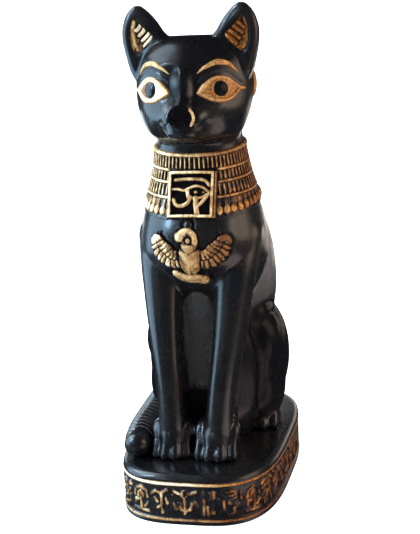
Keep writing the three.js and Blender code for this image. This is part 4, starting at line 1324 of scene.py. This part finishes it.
def plinth():
    """The plinth: a profile carried round a rounded oblong. The profile has a foot, a thin line, a
    sunk band with raised strokes, a second line and a rolled rim; the top is flat."""
    angle, walked, length = plinth_walk(PLINTH_STEPS)
    profile = [(0.0, 0.5), (0.25, 0.15), (0.8, 0.1), (LOW_LINE_Z - 0.5, 0.3)]
    profile += line_profile(LOW_LINE_Z)
    profile += [(z, BAND_DEPTH) for z in np.linspace(2.1, 12.1, 48)]
    profile += line_profile(UPPER_LINE_Z)
    for a in np.linspace(0, np.pi / 2, 13):
        over = PLINTH_TOP - RIM_RADIUS + RIM_RADIUS * math.sin(a)
        profile.append((over, 0.12 + RIM_RADIUS * (1 - math.cos(a))))
    z, inset = (np.repeat(column[:, None], PLINTH_STEPS, 1) for column in np.array(profile).T)
    walk = np.broadcast_to(walked, z.shape)
    rng = np.random.default_rng(SIGN_SEED)
    pitch = length / len(SIGN_ORDER)
    gap = np.full(z.shape, FAR)
    for i, kind in enumerate(SIGN_ORDER):
        near = (walk - i * pitch + length / 2) % length - length / 2
        one = sign_gap(near * SIGN_SQUEEZE, z - SIGN_MIDDLE_Z, kind, rng)
        gap = np.minimum(gap, np.where(np.abs(near) < pitch * 0.6, one, FAR))
    on_band = (z > 2.0) * (z < 12.2)
    raised = smooth(0.58, 0.22, gap) * on_band
    inset = inset - 0.42 * raised + on_band * 0.09 * wander(walk * 1.3, z * 1.7, 2)
    x, y = plinth_edge(angle, inset)
    lower_line = 0.95 * bell(z - LOW_LINE_Z, 0.5)
    # Painted light: the upper line is thicker, so paler, towards the cat's right (-x) where the
    # window light falls
    upper_line = (1.9 - 0.9 * smooth(-10, 20, x)) * np.exp(-(((z - UPPER_LINE_Z) / 0.66) ** 4))
    worn = 0.75 * wander(walk * 1.5, z * 1.3, 9) + 0.3 * wander(walk * 3.3, z * 3.1, 19)
    signs = raised * (0.72 + worn)
    smear = (0.25 + 0.4 * wander(walk * 2.3, z * 2.1, 6)) * smooth(1.7, 0.5, gap)
    smear = smear + smooth(15, 24, x) * (0.22 + 0.35 * wander(walk * 3.1, z * 2.6, 8))
    gilt = highest(signs, lower_line, upper_line, smear * on_band)
    gilt = gilt + 0.08 * wander(walk * 0.8, z * 1.1, 7)
    points = np.stack([x, y, z], axis=-1)
    shares = np.array([0.86, 0.6, 0.3, 0.05])
    draw_in = np.stack([shares, shares, np.ones(4)], axis=-1)[:, None]
    points = np.concatenate([points[0] * draw_in[::-1], points, points[-1] * draw_in])
    fields = {"gilt": np.pad(gilt, ((4, 4), (0, 0)))}
    return surface_piece("plinth", points, GILDED, fields, around=True, poles=True)


scarab()
for SIDE in SIDES:
    eye(SIDE)
    ear_lining(SIDE)
    hoop(on_side("ear_ring", SIDE), (SIDE * 16.3, -5.6, 110.6), (3.2, 3.6), 0.85, SIDE * 1.35, 0)
hoop("nose_ring", (0.3, -27.4, 102.8), (3.6, 3.3), 0.42, 0, 0.16, 2.5)
tail()
collar()
plaque()
plinth()


# Stage, light and camera


def stage_paint():
    """A plain pale paint for floor and backdrop that glows a little, so that it stays pale."""
    paint = Paint("pale_paper")
    tone = paint.ramp(paint.noise(40, 2.0), (0.3, (0.86, 0.86, 0.86)), (0.7, (0.9, 0.9, 0.9)))
    glow = {"Emission_Color": (0.97, 0.98, 1.0, 1), "Emission_Strength": 0.75}
    return paint.finish(Base_Color=tone, Roughness=0.9, IOR=1.4, **glow)


def make_stage():
    """A round floor that turns up into a wall on every side: a profile of floor, quarter circle and
    wall carried round. Mirror-like reflections leave it out, as black cards would."""
    steps, flat, bend_radius, wall_top = 72, 1000, 250, 1500
    bend = np.linspace(0, np.pi / 2, 14)
    out = [[1, 300, 700], flat + bend_radius * np.sin(bend), [flat + bend_radius]]
    z = np.concatenate([[0, 0, 0], bend_radius * (1 - np.cos(bend)), [wall_top]])
    out, turn = grid(np.concatenate(out), full_turn(steps))
    z = np.broadcast_to(z[:, None], out.shape)
    points = np.stack([out * np.cos(turn), out * np.sin(turn), z], axis=-1)
    verts, faces = sheet_mesh(points, around=True)
    faces.append(list(range(steps)))
    floor = add_object("floor_and_backdrop", verts, faces, stage_paint())
    floor.visible_glossy = False


# Each lamp's place, target and size in metres, its watts and its colour
LAMPS = {
    "window": ((-0.22, -0.035, 0.1), (0, 0, 0.06), (0.22, 0.2), 0.56, (0.5, 0.76, 1.0)),
    "window_bright": ((-0.58, -0.36, 0.42), (0, 0, 0.09), (0.14, 0.16), 2.2, (0.42, 0.7, 1.0)),
    "window_front": ((-0.4, -0.75, 0.42), (0, 0, 0.09), (0.08, 0.1), 0.4, (0.75, 0.88, 1.0)),
    "window_high": ((-0.58, -0.4, 0.72), (0, 0, 0.05), (0.08, 0.1), 3.2, (0.72, 0.87, 1.0)),
    "window_top": ((-0.42, 0.02, 0.5), (0, 0, 0.03), (0.3, 0.4), 2.8, (0.7, 0.86, 1.0)),
    "table_left": ((-0.15, -0.12, 0.002), (-0.1, -0.08, 0.3), (0.2, 0.24), 0.05, (0.6, 0.8, 1.0)),
    "table_right": ((0.1, -0.07, 0.002), (0.08, -0.06, 0.3), (0.1, 0.12), 0.055, (1.0, 0.8, 0.76)),
    "table_far": ((0.2, -0.14, 0.002), (0.1, -0.06, 0.3), (0.16, 0.2), 0.03, (1.0, 0.8, 0.7)),
    "warm_front": ((0.56, -0.22, 0.27), (0, 0, 0.1), (0.12, 0.26), 0.26, (1.0, 0.8, 0.7)),
    "warm_side": ((0.24, 0.0, 0.14), (0, 0, 0.09), (0.2, 0.16), 0.065, (1.0, 0.74, 0.52)),
    "warm_far": ((0.7, 0.0, 0.3), (0, 0, 0.08), (0.4, 0.5), 0.95, (1.0, 0.78, 0.62)),
    "warm_glow": ((0.6, -0.3, 0.36), (0, 0, 0.08), (0.4, 0.4), 1.3, (1.0, 0.74, 0.5)),
    "card_right": ((0.1, 0.32, 0.035), (0, 0, 0.035), (0.36, 0.07), 0.12, (1.0, 0.87, 0.76)),
    "card_left": ((-0.14, 0.3, 0.035), (0, 0, 0.035), (0.3, 0.07), 0.16, (0.8, 0.92, 1.0)),
    "front_fill": ((-0.25, -0.9, 0.5), (0, 0, 0.08), (1.0, 0.8), 2.0, (0.98, 0.98, 1.0)),
}
UNMIRRORED = ("warm_glow", "front_fill")


def make_lamp(name, place, target, size, watts, colour, mirrored):
    """A soft rectangular lamp at a place, looking at a target, both in metres. One that isn't
    mirrored lights the paint without showing as a reflection in the gloss."""
    data = bpy.data.lights.new(name, "AREA")
    data.shape = "RECTANGLE"
    data.size, data.size_y = size
    data.energy = watts
    data.color = colour
    lamp = bpy.data.objects.new(name, data)
    lamp.location = place
    lamp.visible_camera = False
    lamp.visible_glossy = mirrored
    lamp.rotation_euler = (Vector(target) - Vector(place)).to_track_quat("-Z", "Y").to_euler()
    bpy.context.scene.collection.objects.link(lamp)


# The camera: turn, downward tilt and roll in degrees; the bearing in degrees, the distance and
# the height in metres of its place; its focal length and longer side in the photograph's pixels
CAMERA_TURNS = (13.28, 12.62, -2.31)
CAMERA_BEARING = 13.36
CAMERA_AWAY = 0.3691
CAMERA_HEIGHT = 0.1512
FOCAL_LENGTH = 1200
LONGER_SIDE = 534


def make_camera():
    """The camera where the photograph's was, with its turn, its downward tilt and its roll. The
    lens is the focal length in pixels times the sensor over the longer side in pixels."""
    yaw, tilt, roll = (math.radians(v) for v in CAMERA_TURNS)
    level = math.cos(tilt)
    ahead = Vector((-math.sin(yaw) * level, math.cos(yaw) * level, -math.sin(tilt)))
    right = Vector((math.cos(yaw), math.sin(yaw), 0))
    up = right.cross(ahead)
    across = right * math.cos(roll) + up * math.sin(roll)
    upright = up * math.cos(roll) - right * math.sin(roll)
    data = bpy.data.cameras.new("camera")
    data.sensor_width = 36
    data.lens = FOCAL_LENGTH / LONGER_SIDE * data.sensor_width
    data.clip_start, data.clip_end = 0.01, 10
    camera = bpy.data.objects.new("camera", data)
    bearing = math.radians(CAMERA_BEARING)
    place = Vector((math.sin(bearing), -math.cos(bearing), 0)) * CAMERA_AWAY
    place.z = CAMERA_HEIGHT
    turn = Matrix((across, upright, -ahead)).transposed()
    camera.matrix_world = Matrix.Translation(place) @ turn.to_4x4()
    bpy.context.scene.collection.objects.link(camera)
    bpy.context.scene.camera = camera


make_stage()
for NAME, LAMP in LAMPS.items():
    make_lamp(NAME, *LAMP, mirrored=NAME not in UNMIRRORED)
make_camera()

world = bpy.data.worlds.new("studio")
world.use_nodes = True
world.node_tree.nodes["Background"].inputs["Color"].default_value = (0.8, 0.9, 1.0, 1)
world.node_tree.nodes["Background"].inputs["Strength"].default_value = 0.05
bpy.context.scene.world = world
bpy.context.scene.view_settings.view_transform = "Standard"
